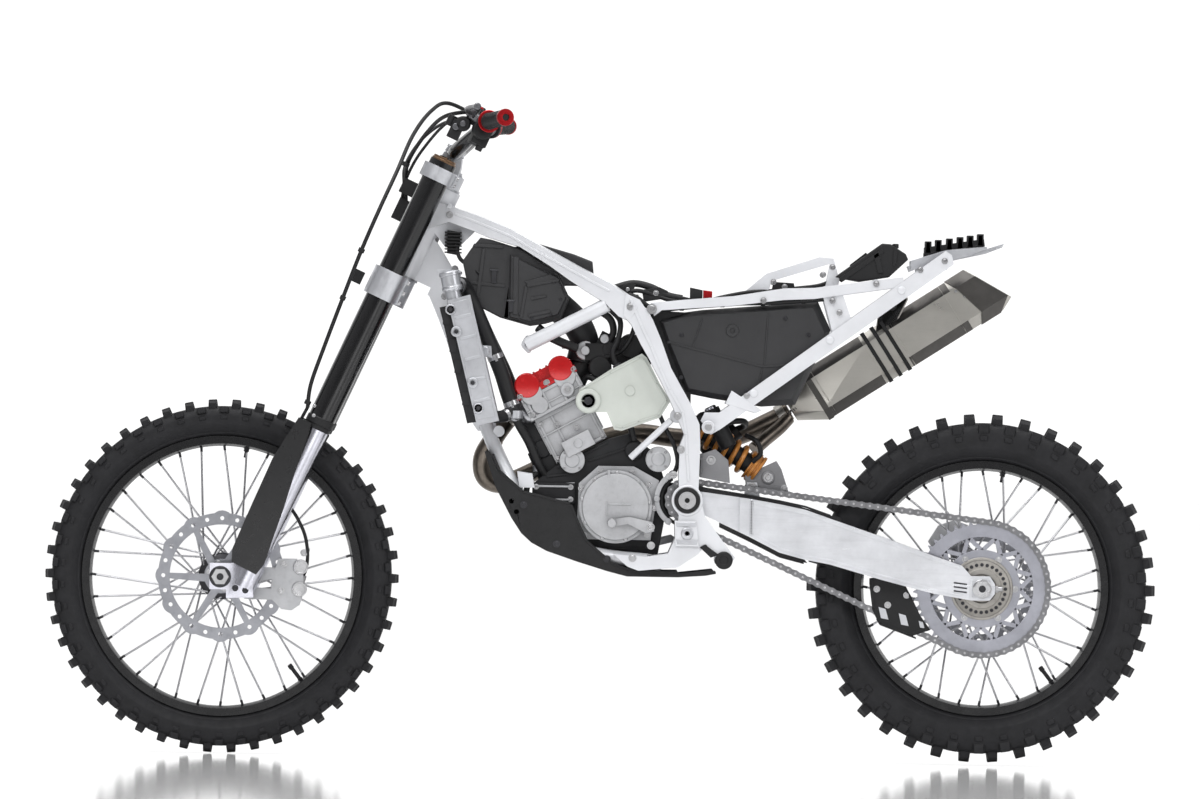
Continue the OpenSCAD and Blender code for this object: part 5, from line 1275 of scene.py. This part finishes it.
def shock():
    a, top = P(458, 0, 580), P(560, 0, 652)
    u = (top - a).normalized()
    ln = (top - a).length * 1000
    pot0, pot1 = P(540, 40, 690), P(500, 40, 610)
    can0, can1 = P(486, -64, 652), P(548, -64, 600)
    o = Batch("shock_collar", "orange", 0.6, hide=["shock"])
    o.lathe((442, 0, 569), u, [(27, 0), (31, 1), (31, 6), (28, 7), (28, 10), (31, 11), (31, 16), (28, 17), (28, 19),
                               (30, 20), (30, 23)], 44)
    sp = Batch("shock_spring", "orange")
    sp.tube(helix(a + u * mm(6), u * mm(ln - 10), 24.5, 6, 144), 5, 10, 1)
    b = Batch("shock_body", "plastic", 0.6)
    b.lathe(a, u, [(19, -4), (19, ln * 0.5), (22, ln * 0.5 + 1), (22, ln * 0.6), (19, ln * 0.6 + 1),
                   (19, ln + 2)], 36)
    b.lathe(top, u, [(27, -4), (27.5, -2), (27.5, 5), (20, 8), (16, 14), (16, 34)], 36)
    b.cyl(pot0, pot1 - pot0, 17, 84, 30, 3)
    b.tube([(540, 30, 676), (556, 20, 676), (566, 6, 664)], 9, 14, 6)
    b.box((556, 24, 664), (26, 40, 20), (u, YV, u.cross(YV)))
    b.cyl(can0, can1 - can0, 19, 84, 28, 3)
    b.tube([(486, -60, 652), (470, -40, 660), (478, -10, 668), (520, 0, 664)], 6)
    b.tube([(470, 20, 640), (448, 34, 628), (440, 34, 604), (456, 26, 588)], 5)
    s = Batch("shock_rod", "slider", 0.5)
    s.lathe((424, 0, 557), u, [(10, 0), (10, 26)], 28)
    s.lathe(pot0, pot0 - pot1, [(12, -2), (12, 4), (9, 6), (5, 6)], 26)
    g = Pair("linkage", "grey", 1.2)
    g.plate([(398, 574), (408, 590), (470, 560), (468, 542), (380, 520)], 16, 22)
    g.lathe((424, 22, 557), YV, [(13, 0), (13, 2.4), (11.4, 3)], 28)
    g.plate([(500, 545), (560, 556), (562, 600), (530, 612), (504, 590)], 84, 89)
    g.box((560, 90, 580), (10, 14, 30))
    g.sides = (1,)
    g.plate([(470, 542), (440, 552), (410, 566), (404, 548), (440, 526), (466, 526)], -14, 14)
    for x, z, half, r, n in ((455, 538, 31, 9, 26), (424, 557, 24, 9, 26), (538, 590, 89, 7, 20)):
        g.cyl((x, -half, z), YV, r, 2 * half, n, 1)
    t = Pair("linkage_bolts", "steel")
    for x, y, z in ((455, 30.6, 538), (424, 24.6, 557), (538, 88.6, 590)):
        t.bolt((x, y, z), YV, 6.4, 4, hexa=True)
    t.bolt((392, 21.6, 536), YV, 5, 3)


shock()


def hubs_and_brakes():
    s = Batch("sprocket_bolts", "steel", body="rear_wheel")
    for p in circle(0, 68, AXLE_Z, 66, 6):
        s.bolt(p, YV, 4.6, 3.4)
    c = Batch("carrier", "hubtan", 0.8, "rear_wheel")
    c.lathe((0, 32, AXLE_Z), YV, [(60, 0.4), (60, 4), (50, 8), (48.4, 12), (48.4, 28.6), (44, 29.6)], 64)
    c.lathe((0, 67.6, AXLE_Z), YV, [(62, -1), (62, 2.6), (60.5, 3.6), (57, 3.6), (56, 2), (54, 1.6), (40, 1.6),
                                    (39, 3.6), (29, 3.8), (27, 2), (20, 2), (18, 3.6), (16, 3.6), (16, 0)], 72)
    bl = Batch("carrier_bearing", "dark", 0.3, "rear_wheel")
    for p in circle(0, 68.8, AXLE_Z, 47, 28):
        bl.cyl(p, YV, 3.6, 1.8, 10, 0.6)
    sk = Batch("sprocket_plate", "sprocket", 0.4, "rear_wheel", hide=["rear_sprocket"])
    n = 2 * TEETH
    for r0, r1 in ((102, 127), (40, 77)):
        sk.skin([[sk.bm.verts.new(wheel_pt(0, r, i * math.tau / n, y)) for i in range(n)]
                 for r, y in ((r0, 62), (r1, 62), (r1, 68), (r0, 68), (r0, 62))], False, False)
    for i in range(12):
        for t in (-0.5, 0.5):
            q, e = wheel_pt(0, 75, i * math.tau / 12, 65), wheel_pt(0, 104, (i + t) * math.tau / 12, 65)
            d = e - q
            sk.box((q + e) / 2, (d.length * 1000 + 5, 5.6, 8.5), (d, YV, d.cross(YV)))
    tooth = [(126, -5), (131, -2.6), (135, -1.2), (135, 1.2), (131, 2.6), (126, 5)]
    for i in range(TEETH):
        a = (i + 0.5) * math.tau / TEETH
        sk.poly([wheel_pt(0, r, a + half / r, 63) for r, half in tooth], YV, 4)
    d = Batch("hub_web", "hub", 0.6, "front_wheel")
    d.lathe((BASE, 0, AXLE_Z), YV, [(44, 29), (40, 31), (28, 34), (25, 40), (25, 49.4)], 48)
    d.lathe((BASE, 0, AXLE_Z), -YV, [(44, 29), (40, 31), (28, 34), (20, 44), (16, 60), (15.4, 66)], 48)
    e = Batch("rear_caliper_bits", "steel", 0.4)
    e.bolts([(58, 457), (80, 441), (66, 429)], -79.4, 5, 3, -YV)
    f = Batch("brake_pedal_pads", "steel", 0.5)
    for x, z, r, d, ys in ((732, 463, 9, YV, (122, 131, 140)), (750, 416, 10, -YV, (-134, -144, -152))):
        for y in ys:
            f.lathe((x, y, z), d, [(r - 0.9, 0), (r, 1), (r, 3.4), (r - 0.9, 4.6)], 24)
    f.bolt((655, 117.6, 456), YV, 5.6, 4)


hubs_and_brakes()


def skid():
    k = Pair("skid_details", "skid", 1.0)
    k.ribs([(812, 496), (796, 458), (780, 426), (728, 382), (680, 368), (602, 368)], 104, 2.6, 5, 3)
    k.sides = (1,)  # the right side is cut back for the header
    k.ribs([(968, 594), (954, 562), (908, 522), (816, 500)], 104, 2.6, 5, 3)
    b = Pair("skid_bolts", "dark")
    b.bolts([(906, 496), (640, 376), (740, 392), (840, 420)], 103.8, 5, 2.6)


skid()

for batch in list(Batch.unfinished):
    batch.done()
